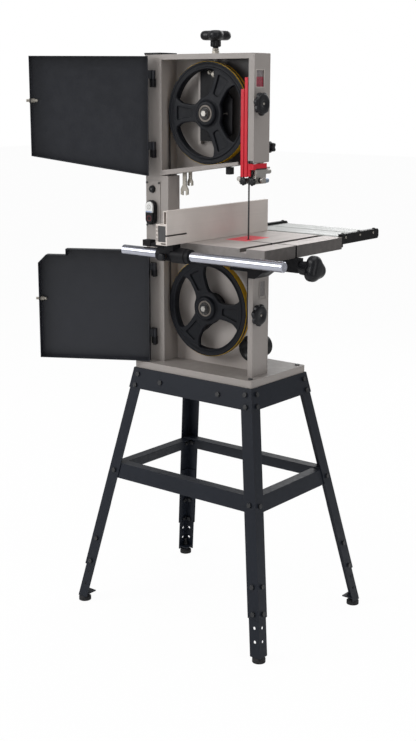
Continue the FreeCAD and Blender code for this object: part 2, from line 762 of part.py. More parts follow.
def wheel(axle_z, spoke_angles, rear_seat, has_pulley):
    """A cast wheel on the Y axis: rim, tapering spokes, hub, and a belt pulley if asked."""
    rim_radius = wheel_radius.value - tyre_thick.value
    half = wheel_width.value / 2
    seat_start, hub_back = rear_seat

    def disc(radius, y0, y1):
        return Part.makeCylinder(radius, y1 - y0, Vector(0, y0, axle_z), Vector(0, 1, 0))

    rim = disc(rim_radius, -half, half)
    rim = rim.fuse(disc(wheel_radius.value - 0.7, -half, -half + 1.5))
    rim = rim.cut(disc(rim_radius - 17.5, -half - 1, half + 1))
    groove = disc(rim_radius - 3.5, -half - 1, -half + 4.0)
    groove = groove.cut(disc(rim_radius - 13.0, -half - 2, -half + 5.0))
    rim = rim.cut(groove)
    parts = [disc(31.0, -19.0, hub_back)]
    for degrees in spoke_angles:
        spoke = spoke_block(axle_z, degrees, SPOKE, -9.0, 12.0)
        parts.append(spoke.cut(spoke_block(axle_z, degrees, SPOKE_WELL, -10.0, 4.5)))
    solid = rim.fuse(parts)
    if has_pulley:
        belt_groove = disc(60.0, 14.0, 23.0).cut(disc(29.25, 13.0, 24.0))
        solid = solid.fuse(disc(36.0, 10.0, hub_back)).cut(belt_groove)
    solid = solid.cut(disc(BEARING_RADIUS, -20.0, FRONT_SEAT_BACK))
    solid = solid.cut(disc(BEARING_RADIUS, seat_start, 30.0))
    solid = solid.cut(disc(17.0, -30.0, 40.0))
    return feature(solid.removeSplitter())


def ring(axle_z, inner, outer, y0, y1):
    return cut(
        cyl("y", 0.0, y0, axle_z, outer, y1 - y0),
        cyl("y", 0.0, y0 - 1, axle_z, inner, y1 - y0 + 2),
    )


def tyre(axle_z):
    return ring(axle_z, wheel_radius - tyre_thick, wheel_radius, -8.5, 8.0)


def bearings(axle_z, rear_seat):
    bore = AXLE_RADIUS + running
    return group(
        ring(axle_z, bore, BEARING_RADIUS, -18.5, FRONT_SEAT_BACK),
        ring(axle_z, bore, BEARING_RADIUS, *rear_seat),
    )


def axle(axle_z, back):
    """A round axle that ends at the back given, with a washer and a bolt head in front."""
    bar = Part.makeCylinder(AXLE_RADIUS, back + 19.5, Vector(0, -19.5, axle_z), Vector(0, 1, 0))
    washer = Part.makeCylinder(12.5, 2.0, Vector(0, -21.5, axle_z), Vector(0, 1, 0))
    return bar.fuse([washer, hexagon((0, -21.5, axle_z), (0, -1, 0), 13.0, 4.5)])


def lower_axle():
    z = lower_axle_z.value
    collar = Part.makeCylinder(19.0, 6.5, Vector(0, 26.5, z), Vector(0, 1, 0))
    return feature(axle(z, 33.0).fuse(collar).removeSplitter())


def upper_axle():
    """The axle on the plate that tilts for tracking, with the plate's cross pin."""
    z = upper_axle_z.value
    plate_y = 12.5
    # x, z
    outline = [(-20, 1283), (50, 1283), (62, 1292), (62, 1375), (40, 1401), (-20, 1401)]
    plate = polygon_face([Vector(x, plate_y, high) for x, high in outline])
    plate = plate.extrude(Vector(0, 3.5, 0))
    pin = Part.makeCylinder(2.5, 60.0, Vector(-12.0, 14.0, z), Vector(1, 0, 0))
    return feature(axle(z, plate_y).fuse([plate]).fuse(pin).removeSplitter())


# ---------------------------------------------------------------- blade tension and tracking
def tension_carriage():
    body = prism("x", [rect(17.8, 31.8, 1270.0, 1450.0)], -44.0, 16.0)
    body = pocket(body, "x", [rect(10.0, 40.0, 1322.0, 1364.0)], -12.0, 12.0)
    body = pocket(body, "z", [("circle", 0.0, TENSION_Y, 5.0 + running)], 1310.0, 1460.0)
    screw = ("circle", TRACKING_X, TRACKING_Z, 4.0 + running)
    return pocket(body, "y", [screw], 10.0, 40.0)


def tension_spring():
    radius = 6.2
    helix = Part.makeHelix(6.6, 33.0, radius)
    section = Part.Wire([Part.makeCircle(0.9, Vector(radius, 0, 0), Vector(0, 1, 0))])
    coil = Part.Wire(helix.Edges).makePipeShell([section], True, True)
    coil.translate(Vector(0.0, TENSION_Y, 1326.5))
    return feature(coil)


def tension_knob():
    """A three-lobed knob above the roof, on the long tension screw."""
    knob = lobed(42.0, 3, lobe_radius=14.0, thick=22.0, z0=1518.0, hub=0.2)
    knob.rotate(Vector(0, 0, 0), Vector(0, 0, 1), -51.7)
    neck = Part.makeCone(12.5, 9.5, 18.0, Vector(0, 0, 1500.0))
    knob = knob.fuse([neck, round_z(17.0, 26.0, 1515.0)])
    nut = hexagon((0, 0, 1484.3), (0, 0, 1), 17.0, 13.5)
    knob = knob.fuse([round_z(5.0, 190.0, 1312.0), nut])
    knob.translate(Vector(0.0, TENSION_Y, 0.0))
    return feature(knob.removeSplitter())


def tracking_knob():
    knob = lobed(19.0, 6, lobe_radius=5.0, thick=14.0, z0=46.0, hub=0.6)
    knob = knob.fuse([round_z(8.0, 8.0, 38.0), round_z(4.0, 40.0, 18.1)])
    return feature(turned(knob.removeSplitter(), (0, 1, 0), (TRACKING_X, 0.0, TRACKING_Z)))


# ---------------------------------------------------------------- motor, belt and blade
def motor():
    return cut(
        fuse(
            cyl("y", motor_x, 42.0, motor_z, motor_radius, 150.0),
            cyl("y", motor_x, 192.0, motor_z, motor_radius - 6, 14.0),
            box(motor_x - 52, motor_x + 60, 36.0, 42.0, motor_z - 58, motor_z + 58),
            box(motor_x - 28, motor_x + 28, 70.0, 140.0, motor_z + 50, motor_z + 82),
        ),
        cyl("y", motor_x, 35.0, motor_z, 19.0, 12.0),
    )


def motor_pulley():
    groove = cut(
        cyl("y", motor_x, 14.0, motor_z, 32.0, 9.0),
        cyl("y", motor_x, 13.0, motor_z, 13.25, 11.0),
    )
    pulley = cut(cyl("y", motor_x, 12.0, motor_z, 20.0, 13.0), groove)
    return fuse(pulley, cyl("y", motor_x, 25.0, motor_z, 7.0, 21.5))


def drive_belt():
    drive, shaft = (0, lower_axle_z.value), (motor_x.value, motor_z.value)
    outer = loop_solid(drive, 34.7, shaft, 18.7, 14.5, 22.5)
    return feature(outer.cut(loop_solid(drive, 29.3, shaft, 13.3, 14.0, 23.0)))


def blade():
    low, high = (0, lower_axle_z.value), (0, upper_axle_z.value)
    inner = wheel_radius.value + blade_gap.value
    outer = inner + blade_thick.value
    y0, y1 = blade_back.value - blade_width.value, blade_back.value
    band = loop_solid(low, outer, high, outer, y0, y1)
    return feature(band.cut(loop_solid(low, inner, high, inner, y0 - 1, y1 + 1)))


# ---------------------------------------------------------------- upper guide
GUIDE_PINS_X, GUIDE_PIN_Z = (121.3, 134.5), 1196.0
GUIDE_BLOCK_RIGHT = 158.1
# pin of the bearing behind the blade, and the side knob's axis
THRUST_Y, THRUST_Z = 7.8, 1184.0
SIDE_KNOB_Y, SIDE_KNOB_Z = -2.0, 1181.0


def guide_post():
    right = GUIDE_BLOCK_RIGHT
    parts = [
        # square post and the block at its foot
        box(143.5, 156.5, 4.0, 17.0, 1207.0, 1425.0),
        box(146.0, right, -15.0, 26.0, 1172.0, 1207.0),
        box(141.0, right, 0.0, 26.0, 1172.0, 1207.0),
        # rear arm, front arm and the front arm's round end
        box(113.0, 141.0, 20.0, 26.0, 1174.0, 1204.0),
        box(106.0, right, -16.0, -12.0, 1172.0, 1186.0),
        cyl("y", 111.0, -24.0, 1183.5, 6.0, 8.0),
    ]
    # bearing pins
    parts += [cyl("y", x, -3.0, GUIDE_PIN_Z, 2.5, 23.5) for x in GUIDE_PINS_X]
    parts += [
        cyl("x", 121.0, THRUST_Y, THRUST_Z, 2.0, 22.0),
        # round bars and small blocks behind the foot
        cyl("y", 149.0, 26.0, 1200.0, 6.0, 27.0),
        cyl("y", 150.0, 26.0, 1178.0, 6.0, 17.0),
        cyl("y", 153.0, 29.5, 1209.5, 2.6, 17.0),
        box(150.4, 155.6, 29.5, 33.0, 1203.0, 1209.5),
        box(150.4, 155.6, 26.0, 33.0, 1200.0, 1206.0),
        # boss of the side knob
        cyl("x", right, SIDE_KNOB_Y, SIDE_KNOB_Z, 6.5, 7.0),
    ]
    return cut(fuse(*parts), cyl("x", 150.0, 7.0, 1215.0, 2.0, 10.0))


def blade_guard():
    """An upright strip in front of the blade, slotted down its front, with side brackets."""
    right = GUIDE_BLOCK_RIGHT
    # x, y
    section = [
        (119.5, -28.5), (128.3, -28.5), (128.3, -26.3), (130.7, -26.3),
        (130.7, -28.5), (139.5, -28.5), (139.5, -24.5), (119.5, -24.5),
    ]
    return fuse(
        prism("z", [section], 1189.0, 1399.0),
        box(130.7, 139.5, -28.5, -24.5, 1398.0, 1427.0),
        box(139.5, right, -26.4, -24.9, 1207.0, 1221.5),
        box(139.5, 147.5, -26.4, -24.9, 1190.5, 1207.0),
        box(146.3, 147.5, -26.4, -22.0, 1190.5, 1209.0),
        box(156.8, right, -26.4, 29.0, 1207.0, 1221.5),
    )


def guide_bearings():
    """One bearing on either side of the blade and one behind it."""
    rollers = [
        cut(cyl("y", x, -9.5, GUIDE_PIN_Z, 6.0, 6.4), cyl("y", x, -10.5, GUIDE_PIN_Z, 2.0, 7.0))
        for x in GUIDE_PINS_X
    ]
    thrust = cut(
        cyl("x", 125.0, THRUST_Y, THRUST_Z, 7.8, 5.8),
        cyl("x", 124.0, THRUST_Y, THRUST_Z, 2.0 + running, 8.0),
    )
    return group(*rollers, thrust)


def guide_knobs():
    """Two lobed knobs in front and a plain round one on the right."""
    z = 1178.6
    knobs = []
    for x in (127.5, 154.5):
        knob = lobed(10.4, 8, lobe_radius=2.6, thick=8.0, z0=0.0, hub=0.62)
        knob = turned(knob, (0, 1, 0), (x, -31.0, z))
        knobs.append(knob.fuse(Part.makeCylinder(3.0, 7.0, Vector(x, -23.0, z), Vector(0, 1, 0))))
    side_start = Vector(GUIDE_BLOCK_RIGHT + 7.0, SIDE_KNOB_Y, SIDE_KNOB_Z)
    knobs.append(Part.makeCylinder(7.5, 6.5, side_start, Vector(1, 0, 0)))
    return feature(Part.makeCompound([knob.removeSplitter() for knob in knobs]))


def guide_lock_knob():
    knob = lobed(15.0, 5, lobe_radius=4.5, thick=14.0, z0=48.0, hub=0.55)
    knob = knob.fuse([round_z(7.0, 13.0, 35.0), round_z(4.0, 20.0, 17.3)])
    at = (GUIDE_LOCK_X, 0.0, GUIDE_LOCK_Z)
    return feature(turned(knob.removeSplitter(), (0, 1, 0), at))


def lower_guides():
    """Guide block below the table, with a finger on either side of the blade."""
    return fuse(
        box(141.0, 160.0, -14.0, 18.0, 968.0, 984.0),
        box(133.0, 141.0, -6.0, 0.0, 972.0, 980.0),
        box(112.0, 123.0, -6.0, 0.0, 972.0, 980.0),
        box(112.0, 160.0, 12.0, 18.0, 970.0, 982.0),
        box(112.0, 118.0, -6.0, 18.0, 970.0, 982.0),
        cyl("x", 125.0, 11.2, 976.0, 7.5, 5.8),
    )


# ---------------------------------------------------------------- table
table_bottom = table_top - table_skirt
plate_bottom = table_top - table_plate
RODS_X = (8.0, 270.0)
ROD_RADIUS = 5.0


def table():
    """A ribbed table with a mitre slot, an insert recess and a blade slot, and two rear lugs."""
    y0, y1 = table_front + 9, table_back - 9
    low, high = table_bottom - 1, table_top + 1
    body = prism("z", [rect(table_left, table_right, table_front, table_back)],
                 table_bottom, table_top)
    body = fillet(body, 3.0, lambda e: along(e, "z"))
    # hollows below, either side of the mitre slot and under it
    body = pocket(body, "z", [rect(table_left + 8, 207.0, y0, y1)], low, plate_bottom)
    body = pocket(body, "z", [rect(239.0, table_right - 8, y0, y1)], low, plate_bottom)
    body = pocket(body, "z", [rect(206.0, 240.0, y0, y1)], low, table_top - 16.0)
    # mitre slot
    slot = rect(213.5, 232.5, table_front - 1, table_back + 1)
    body = pocket(body, "z", [slot], table_top - 9.5, high)
    # recess for the insert, and the opening below it
    body = pocket(body, "z", [rect(81.0, 146.0, -38.0, 65.0)], table_top - 3.0, high)
    body = pocket(body, "z", [rect(87.0, 141.0, -32.0, 59.0)], plate_bottom - 1, table_top)
    # slot to the right edge
    body = pocket(body, "z", [rect(140.0, table_right + 1, -28.0, -21.5)], low, high)
    lugs = [box(x - 8.5, x + 8.5, 140.0, 176.0, 1004.0, plate_bottom + 0.5) for x in RODS_X]
    bores = [cyl("y", x, 130.0, rod_z, ROD_RADIUS + running, 70.0) for x in RODS_X]
    return cut(fuse(body, *lugs), *bores)


def table_insert():
    """The plate round the blade: a slot amid a grid of small holes."""
    low, high = table_top - 4, table_top + 1
    body = prism("z", [rect(81.2, 145.8, -37.8, 64.8)], table_top - 2.9, table_top)
    body = fillet(body, 2.0, lambda e: along(e, "z"))
    body = pocket(body, "z", [rect(125.3, 130.5, -12.0, 12.0)], low, high)
    holes = []
    for column in range(7):
        for row in range(12):
            x, y = 87.5 + 8.6 * column, -30.0 + 7.8 * row
            near_slot = abs(x - tilt_x.value) < 6.5 and abs(y) < 16
            if not near_slot:
                holes.append(("circle", x, y, 1.5))
    return pocket(body, "z", holes, low, high)


def table_brackets():
    """Half-moon trunnions, the tilt lock bracket and two rail brackets under the table."""
    trunnions = [
        common(
            cyl("y", tilt_x, y0, table_top, TRUNNION_RADIUS - 0.1, y1 - y0),
            box(50.0, 210.0, y0 - 1, y1 + 1, 940.0, plate_bottom),
        )
        for y0, y1 in ((-29.0, -19.0), (23.0, 33.0))
    ]
    tilt_lock = cut(
        fuse(
            box(246.0, 300.0, -35.0, -13.0, 968.0, 1002.8),
            box(246.0, 276.0, -35.0, -27.0, 1000.0, plate_bottom),
            box(246.0, 276.0, -22.0, -13.0, 1000.0, plate_bottom),
        ),
        cyl("x", 240.0, TILT_LOCK_Y, TILT_LOCK_Z, 8.0 + running, 70.0),
    )
    # the right one stops below the mitre slot
    rail_brackets = [
        cut(
            fuse(
                box(x - 8, x + 8, -178.0, -140.0, 1000.0, 1002.9),
                box(x - 8, x + 8, -178.0, table_front - 0.2, 1000.0, 1010.5),
                box(x - 10, x + 10, table_front + 9.1, -138.0, 1000.0, top),
            ),
            cyl("x", x - 20, rail_y, rail_z, rail_radius, 40.0),
        )
        for x, top in ((-20.0, plate_bottom), (235.0, 1016.9))
    ]
    return group(*trunnions, tilt_lock, *rail_brackets)


def tilt_lock_knob():
    knob = lobed(34.5, 3, lobe_radius=15.0, thick=34.0, z0=-4.0, hub=0.25)
    neck = Part.makeCone(16.0, 18.0, 22.0, Vector(0, 0, -27.0))
    knob = knob.fuse([round_z(18.0, 36.0, -6.0), neck])
    knob = knob.fuse(round_z(8.0, 95.0, -92.0))
    knob.rotate(Vector(0, 0, 0), Vector(0, 0, 1), 20.0)
    at = (328.0, TILT_LOCK_Y, TILT_LOCK_Z)
    return feature(turned(knob.removeSplitter(), (1, 0, 0), at))


# ---------------------------------------------------------------- fence and its rail
def fence_rail():
    """A round rail along the table's front, chamfered at both ends."""
    rail = cyl("x", -126.0, rail_y, rail_z, rail_radius, 491.0)
    chamfer = doc.addObject("Part::Chamfer", "rail_ends")
    doc.recompute()
    chamfer.Base = rail
    chamfer.Edges = [
        (i + 1, 1.5, 1.5)
        for i, edge in enumerate(rail.Shape.Edges)
        if edge.Curve.TypeId == "Part::GeomCircle"
    ]
    return chamfer


fence_left = fence_face - 34.5
fence_bottom = table_top + 0.3


def fence():
    """A hollow extrusion: a wide foot, a thin upright on its right, and grooves."""
    left, face, low, top = fence_left, fence_face, fence_bottom, fence_top
    shoulder = low + 50
    section = [
        [
            (left, low), (face, low), (face, top), (face - 11.7, top),
            (face - 11.7, shoulder), (left, shoulder),
        ],
        rect(left + 6.0, face - 4.0, low + 8.0, low + 46.5),
        rect(face - 9.9, face - 1.8, low + 52.0, top - 2.0),
        rect(face - 19.0, face - 4.0, low + 2.0, low + 5.5),
    ]
    # small cells in the left wall: heights above the fence's bottom
    for z0, z1 in ((9.0, 17.0), (21.0, 27.0), (31.0, 36.0), (40.0, 46.5)):
        section.append(rect(left + 1.6, left + 4.4, low + z0, low + z1))
    body = prism("y", section, fence_front, fence_back)
    slot = rect(fence_front - 1, -155.0, 1054.6, 1058.6)
    return pocket(body, "x", [slot], face - 4.5, face + 1)


def fence_carrier():
    """A half-open sleeve on the rail, with a neck that reaches up to the fence."""
    return cut(
        fuse(
            cyl("x", 34.0, rail_y, rail_z, 17.4, 58.0),
            cyl("x", 38.0, rail_y, rail_z, 19.0, 42.0),
            cyl("x", -8.0, rail_y, rail_z, 17.6, 18.0),
            box(8.0, 40.0, -203.0, -190.0, 1012.0, 1021.0),
            box(6.0, 40.0, -204.5, -188.0, 993.0, 1018.0),
            box(24.0, 50.0, -205.0, -176.0, 1018.0, fence_bottom - 0.1),
            box(-40.0, 26.0, -188.0, -178.0, 1021.0, 1030.0),
            box(-60.0, -36.0, -190.0, -170.0, 1020.5, 1036.0),
            cyl("y", FENCE_LOCK_X, -207.5, FENCE_LOCK_Z, 8.5, 8.0),
        ),
        cyl("x", -80.0, rail_y, rail_z, rail_radius + running + 0.05, 200.0),
        box(-80.0, 100.0, rail_y, -150.0, 980.0, 1016.5),
        cyl("y", FENCE_LOCK_X, -212.0, FENCE_LOCK_Z, 4.0 + running, 20.0),
    )


def fence_lock_knob():
    knob = lobed(9.0, 12, lobe_radius=1.2, thick=10.0, z0=0.0, hub=0.8)
    knob = knob.fuse(round_z(7.6, 1.5, -1.5))
    knob = knob.fuse([round_z(6.0, 3.4, 10.0), round_z(4.0, 21.0, 1.0)])
    at = (FENCE_LOCK_X, -221.0, FENCE_LOCK_Z)
    return feature(turned(knob.removeSplitter(), (0, 1, 0), at))


# ---------------------------------------------------------------- sliding extension behind the table
ARM_WIDTH = 12.0
ARMS_X = (-20.0, 273.0)  # left face of each arm


def extension_arms():
    """Two arms, each joined by a small block to a rod that slides in a table lug."""
    # y, z
    section = [
        (185.0, 1014.5), (361.0, 1014.5), (366.0, 1020.0),
        (366.0, 1035.0), (361.0, 1040.0), (185.0, 1040.0),
    ]
    arms = []
    for left, rod in zip(ARMS_X, RODS_X):
        right = left + ARM_WIDTH
        block_left, block_right = min(rod - ROD_RADIUS, left), max(rod + ROD_RADIUS, right)
        arms.append(
            fuse(
                prism("x", [section], left, right),
                cyl("y", rod, 36.0, rod_z, ROD_RADIUS, 150.0),
                box(block_left, block_right, 185.0, 190.0, 1007.0, 1020.0),
            )
        )
    return group(*arms)


def extension_slats():
    """Two slats across the arms, each with two hollow cells and bevelled top edges."""
    low, top, bevel = 1026.0, 1034.0, 1.6
    left, right = ARMS_X[0] + ARM_WIDTH + 0.05, ARMS_X[1] - 0.05
    slats = []
    for y0, y1 in ((191.0, 272.0), (276.0, 358.0)):
        middle = (y0 + y1) / 2
        outline = [
            (y0, low), (y1, low), (y1, top - bevel),
            (y1 - bevel, top), (y0 + bevel, top), (y0, top - bevel),
        ]
        cells = [
            rect(y0 + 2, middle - 1, low + 2, top - 2),
            rect(middle + 1, y1 - 2, low + 2, top - 2),
        ]
        slats.append(prism("x", [outline] + cells, left, right))
    return group(*slats)


# ---------------------------------------------------------------- stand
STAND_TOP = base_bottom.value
APRON = apron_sheet.value
LEG = leg_sheet.value
PLATE_GAP = 0.05
BOLT_HOLE = 4.15
LEG_INSET = APRON + PLATE_GAP
INNER_INSET = APRON + LEG + 2 * PLATE_GAP  # leg extensions and braces lie inside the legs
CORNERS = [(side_x, side_y) for side_x in (-1, 1) for side_y in (-1, 1)]
FOOT_INSET = 20.0
SPLICE_SETBACK = 19.5
SPLICE_HEIGHTS = (119.0, 185.0)
SPARE_HEIGHTS = (52.0, 85.5, 217.0, 250.0)
FRAME_SETBACK = 20.0
APRON_JOINT_HEIGHTS = (652.0, 622.0)
BRACE_JOINTS = (("y", 383.0), ("x", 380.0))  # face, height
APRON_MIDDLE_BOLTS = [(-107.0, 640.0), (87.0, 640.0)]  # x, z on the front and back aprons


# A side is -1 for left or front and 1 for right or back.
def edge_x(side, z, inset=0.0):
    """X of the stand's left or right outer plane at a height, moved inwards by the inset."""
    top = stand_right if side > 0 else stand_left
    return top.value + side * (splay_x.value * (STAND_TOP - z) - inset)


def edge_y(side, z, inset=0.0):
    """Y of the stand's front or back outer plane at a height, moved inwards by the inset."""
    top = stand_back if side > 0 else stand_front
    return top.value + side * (splay_y.value * (STAND_TOP - z) - inset)


def flange_box(x, y, z, side_x, side_y, width, depth, thick):
    """A level plate from a point inwards; a side of 0 lets it run towards + from the point."""
    x0 = min(x, x - width) if side_x > 0 else x
    y0 = min(y, y - depth) if side_y > 0 else y
    return Part.makeBox(width, depth, thick, Vector(x0, y0, z))


def angle_leg(corner, inset, width, z0, z1):
    """An angle-section leg: two flanges that meet on the splayed corner line."""
    side_x, side_y = corner

    def facing_y(z):
        x, y = edge_x(side_x, z, inset), edge_y(side_y, z, inset)
        end, back = x - side_x * width, y - side_y * LEG
        return [(x, y), (end, y), (end, back), (x, back)]

    def facing_x(z):
        x, y = edge_x(side_x, z, inset), edge_y(side_y, z, inset)
        end, back = y - side_y * width, x - side_x * LEG
        return [(x, y), (x, end), (back, end), (back, y)]

    return slab(z0, z1, facing_y).fuse(slab(z0, z1, facing_x)).removeSplitter()


def joint(corner, face, z, setback, plane):
    """Point and outward normal of a bolt; the plane is an inset, the setback from the corner."""
    side_x, side_y = corner
    if face == "y":
        point = Vector(edge_x(side_x, z, setback), edge_y(side_y, z, plane), z)
        out = Vector(0, side_y, splay_y.value)
    else:
        point = Vector(edge_x(side_x, z, plane), edge_y(side_y, z, setback), z)
        out = Vector(side_x, 0, splay_x.value)
    out.normalize()
    return point, out


def hole(point, out, radius, depth=14.0):
    return Part.makeCylinder(radius, depth, point + out * 4.0, out * -1)


def splice_joints(corner, heights):
    """Points and normals where leg and extension overlap, two at each height."""
    return [
        joint(corner, face, z, SPLICE_SETBACK, LEG_INSET) for z in heights for face in ("y", "x")
    ]


def frame_joints(corner):
    """Where the aprons and braces meet a leg: face, point, normal and grip."""
    joints = []
    for z in APRON_JOINT_HEIGHTS:
        for face in ("y", "x"):
            place_and_normal = joint(corner, face, z, FRAME_SETBACK, 0.0)
            joints.append((face, *place_and_normal, APRON + LEG + 0.15))
    for face, z in BRACE_JOINTS:
        place_and_normal = joint(corner, face, z, FRAME_SETBACK, LEG_INSET)
        joints.append((face, *place_and_normal, 2 * LEG + 0.15))
    return joints


def middle_joints(side):
    """Points and normals of the bolts in the middle of the front or back apron."""
    out = Vector(0, side, splay_y.value)
    out.normalize()
    return [(Vector(x, edge_y(side, z), z), out) for x, z in APRON_MIDDLE_BOLTS]


def stand_legs():
    legs = []
    for corner in CORNERS:
        leg = angle_leg(corner, LEG_INSET, leg_flange.value, leg_bottom.value, STAND_TOP - 2.7)
        holes = [hole(p, out, BOLT_HOLE) for p, out in splice_joints(corner, SPLICE_HEIGHTS)]
        holes += [hole(p, out, BOLT_HOLE) for _, p, out, _ in frame_joints(corner)]
        legs.append(leg.cut(holes))
    return feature(Part.makeCompound(legs))


def leg_extensions():
    """Angle sections inside the legs, each with a level tab for its foot and spare holes."""
    extensions = []
    low, high = extension_bottom.value, extension_top.value
    for corner in CORNERS:
        side_x, side_y = corner
        extension = angle_leg(corner, INNER_INSET, leg_flange.value - 4.0, low, high)
        x, y = edge_x(side_x, 24.0, INNER_INSET + LEG), edge_y(side_y, 24.0, INNER_INSET + LEG)
        tab = flange_box(x, y, 22.0, side_x, side_y, 30, 30, 3.0)
        extension = extension.fuse(tab).removeSplitter()
        foot = Vector(edge_x(side_x, 0, FOOT_INSET), edge_y(side_y, 0, FOOT_INSET), 18.0)
        extension = extension.cut(Part.makeCylinder(BOLT_HOLE, 10.0, foot))
        holes = [hole(p, out, BOLT_HOLE) for p, out in splice_joints(corner, SPLICE_HEIGHTS)]
        holes += [hole(p, out, 4.0) for p, out in splice_joints(corner, SPARE_HEIGHTS)]
        extensions.append(extension.cut(holes))
    return feature(Part.makeCompound(extensions))


def levelling_feet():
    """Pads on threaded studs, each with a nut below and above the extension's tab."""
    feet = []
    for side_x, side_y in CORNERS:
        x, y = edge_x(side_x, 0, FOOT_INSET), edge_y(side_y, 0, FOOT_INSET)
        pad = Part.makeCylinder(17.0, 9.0, Vector(x, y, 0))
        pad = pad.fuse(Part.makeCone(17.0, 12.0, 4.0, Vector(x, y, 9.0)))
        stud = Part.makeCylinder(4.0, 36.0, Vector(x, y, 10.0))
        low_nut = hexagon((x, y, 15.5), (0, 0, 1), 12.0, 6.4)
        high_nut = hexagon((x, y, 25.1), (0, 0, 1), 11.0, 6.0)
        feet.append(pad.fuse([stud, low_nut, high_nut]).removeSplitter())
    return feature(Part.makeCompound(feet))


def strip_along_x(side, inset, end_inset, thick, z0, z1):
    """The leaning web of a front or back apron or brace."""

    def outline(z):
        y = edge_y(side, z, inset)
        x0, x1 = edge_x(-1, z, end_inset), edge_x(1, z, end_inset)
        return [(x0, y), (x1, y), (x1, y - side * thick), (x0, y - side * thick)]

    return slab(z0, z1, outline)


def strip_along_y(side, inset, end_inset, thick, z0, z1):
    """The leaning web of a left or right apron or brace."""

    def outline(z):
        x = edge_x(side, z, inset)
        y0, y1 = edge_y(-1, z, end_inset), edge_y(1, z, end_inset)
        return [(x, y0), (x, y1), (x - side * thick, y1), (x - side * thick, y0)]

    return slab(z0, z1, outline)


FLANGE = 2.5  # thickness of the level flanges
APRON_BOTTOM = STAND_TOP - apron_height.value
BRACE_TOP = brace_top.value
BRACE_BOTTOM = BRACE_TOP - brace_height.value
SIDE_BRACE_DROP = 2.7  # side braces pass below the flanges of the front and back ones


def long_apron(side, holes):
    """Front or back apron, full width, with a flange turned in under the base."""
    apron = strip_along_x(side, 0.0, 0.0, APRON, APRON_BOTTOM, STAND_TOP)
    left, width = stand_left.value + 4, stand_right.value - stand_left.value - 8
    y = edge_y(side, STAND_TOP) - side * 0.5
    flange = flange_box(left, y, STAND_TOP - FLANGE, 0, side, width, 30.0, FLANGE)
    apron = apron.fuse(flange).removeSplitter()
    cuts = holes + [hole(point, out, BOLT_HOLE) for point, out in middle_joints(side)]
    for bolt_x, bolt_y in BASE_BOLTS:
        cuts.append(Part.makeCylinder(BOLT_HOLE, 12.0, Vector(bolt_x, bolt_y, STAND_TOP - 8)))
    return apron.cut(cuts)


def side_apron(side, holes):
    """Left or right apron, fitted between the front and back ones."""
    apron = strip_along_y(side, 0.0, LEG_INSET, APRON, APRON_BOTTOM, STAND_TOP)
    x = edge_x(side, STAND_TOP) - side * 0.5
    flange = flange_box(x, -29.0, STAND_TOP - FLANGE, side, 0, 20.0, 170.0, FLANGE)
    return apron.fuse(flange).removeSplitter().cut(holes)


def long_brace(side, holes):
    """Front or back brace: an angle section with its flange turned in at the top."""
    brace = strip_along_x(side, INNER_INSET, INNER_INSET, LEG, BRACE_BOTTOM, BRACE_TOP)
    y = edge_y(side, BRACE_TOP, INNER_INSET + 0.2)
    x0, x1 = edge_x(-1, BRACE_TOP, INNER_INSET), edge_x(1, BRACE_TOP, INNER_INSET)
    flange = flange_box(x0, y, BRACE_TOP - FLANGE, 0, side, x1 - x0, 28.0, FLANGE)
    return brace.fuse(flange).removeSplitter().cut(holes)


def side_brace(side, holes):
    """Left or right brace, shorter and slightly lower than the front and back ones."""
    top, bottom = BRACE_TOP - SIDE_BRACE_DROP, BRACE_BOTTOM - SIDE_BRACE_DROP
    brace = strip_along_y(side, INNER_INSET, INNER_INSET + LEG + 0.1, LEG, bottom, top)
    x = edge_x(side, top, INNER_INSET + 0.2)
    flange_inset = INNER_INSET + LEG + 3
    y0, y1 = edge_y(-1, top, flange_inset), edge_y(1, top, flange_inset)
    flange = flange_box(x, y0, top - FLANGE, side, 0, 28.0, y1 - y0, FLANGE)
    return brace.fuse(flange).removeSplitter().cut(holes)


def stand_rails():
    """The four aprons at the top of the stand and the four braces below."""
    holes = {"x": [], "y": []}
    for corner in CORNERS:
        for face, point, out, _ in frame_joints(corner):
            holes[face].append(hole(point, out, BOLT_HOLE, 18.0))
    rails = []
    for side in (-1, 1):
        rails.append(long_apron(side, holes["y"]))
        rails.append(side_apron(side, holes["x"]))
        rails.append(long_brace(side, holes["y"]))
        rails.append(side_brace(side, holes["x"]))
    return feature(Part.makeCompound(rails))


def frame_bolts():
    """All the stand's bolts, the base bolts and the switch plate's screws."""
    bolts = []
    for corner in CORNERS:
        for point, out in splice_joints(corner, SPLICE_HEIGHTS):
            bolts.append(bolt(point, out, 2 * LEG + 0.15))
        for _, point, out, grip in frame_joints(corner):
            bolts.append(bolt(point, out, grip))
    for side in (-1, 1):
        bolts += [bolt(point, out, APRON + 0.05) for point, out in middle_joints(side)]
    base_grip = base_top.value - STAND_TOP + FLANGE
    for x, y in BASE_BOLTS:
        top = Vector(x, y, base_top.value)
        bolts.append(bolt(top, Vector(0, 0, 1), base_grip, head_height=2.6))
    for x in (-182.8, -141.5):
        for z in (1161.0, 1050.5):
            start = Vector(x, front.value - 3.1, z)
            bolts.append(Part.makeCylinder(3.0, 1.6, start, Vector(0, 1, 0)))
    return feature(Part.makeCompound(bolts))


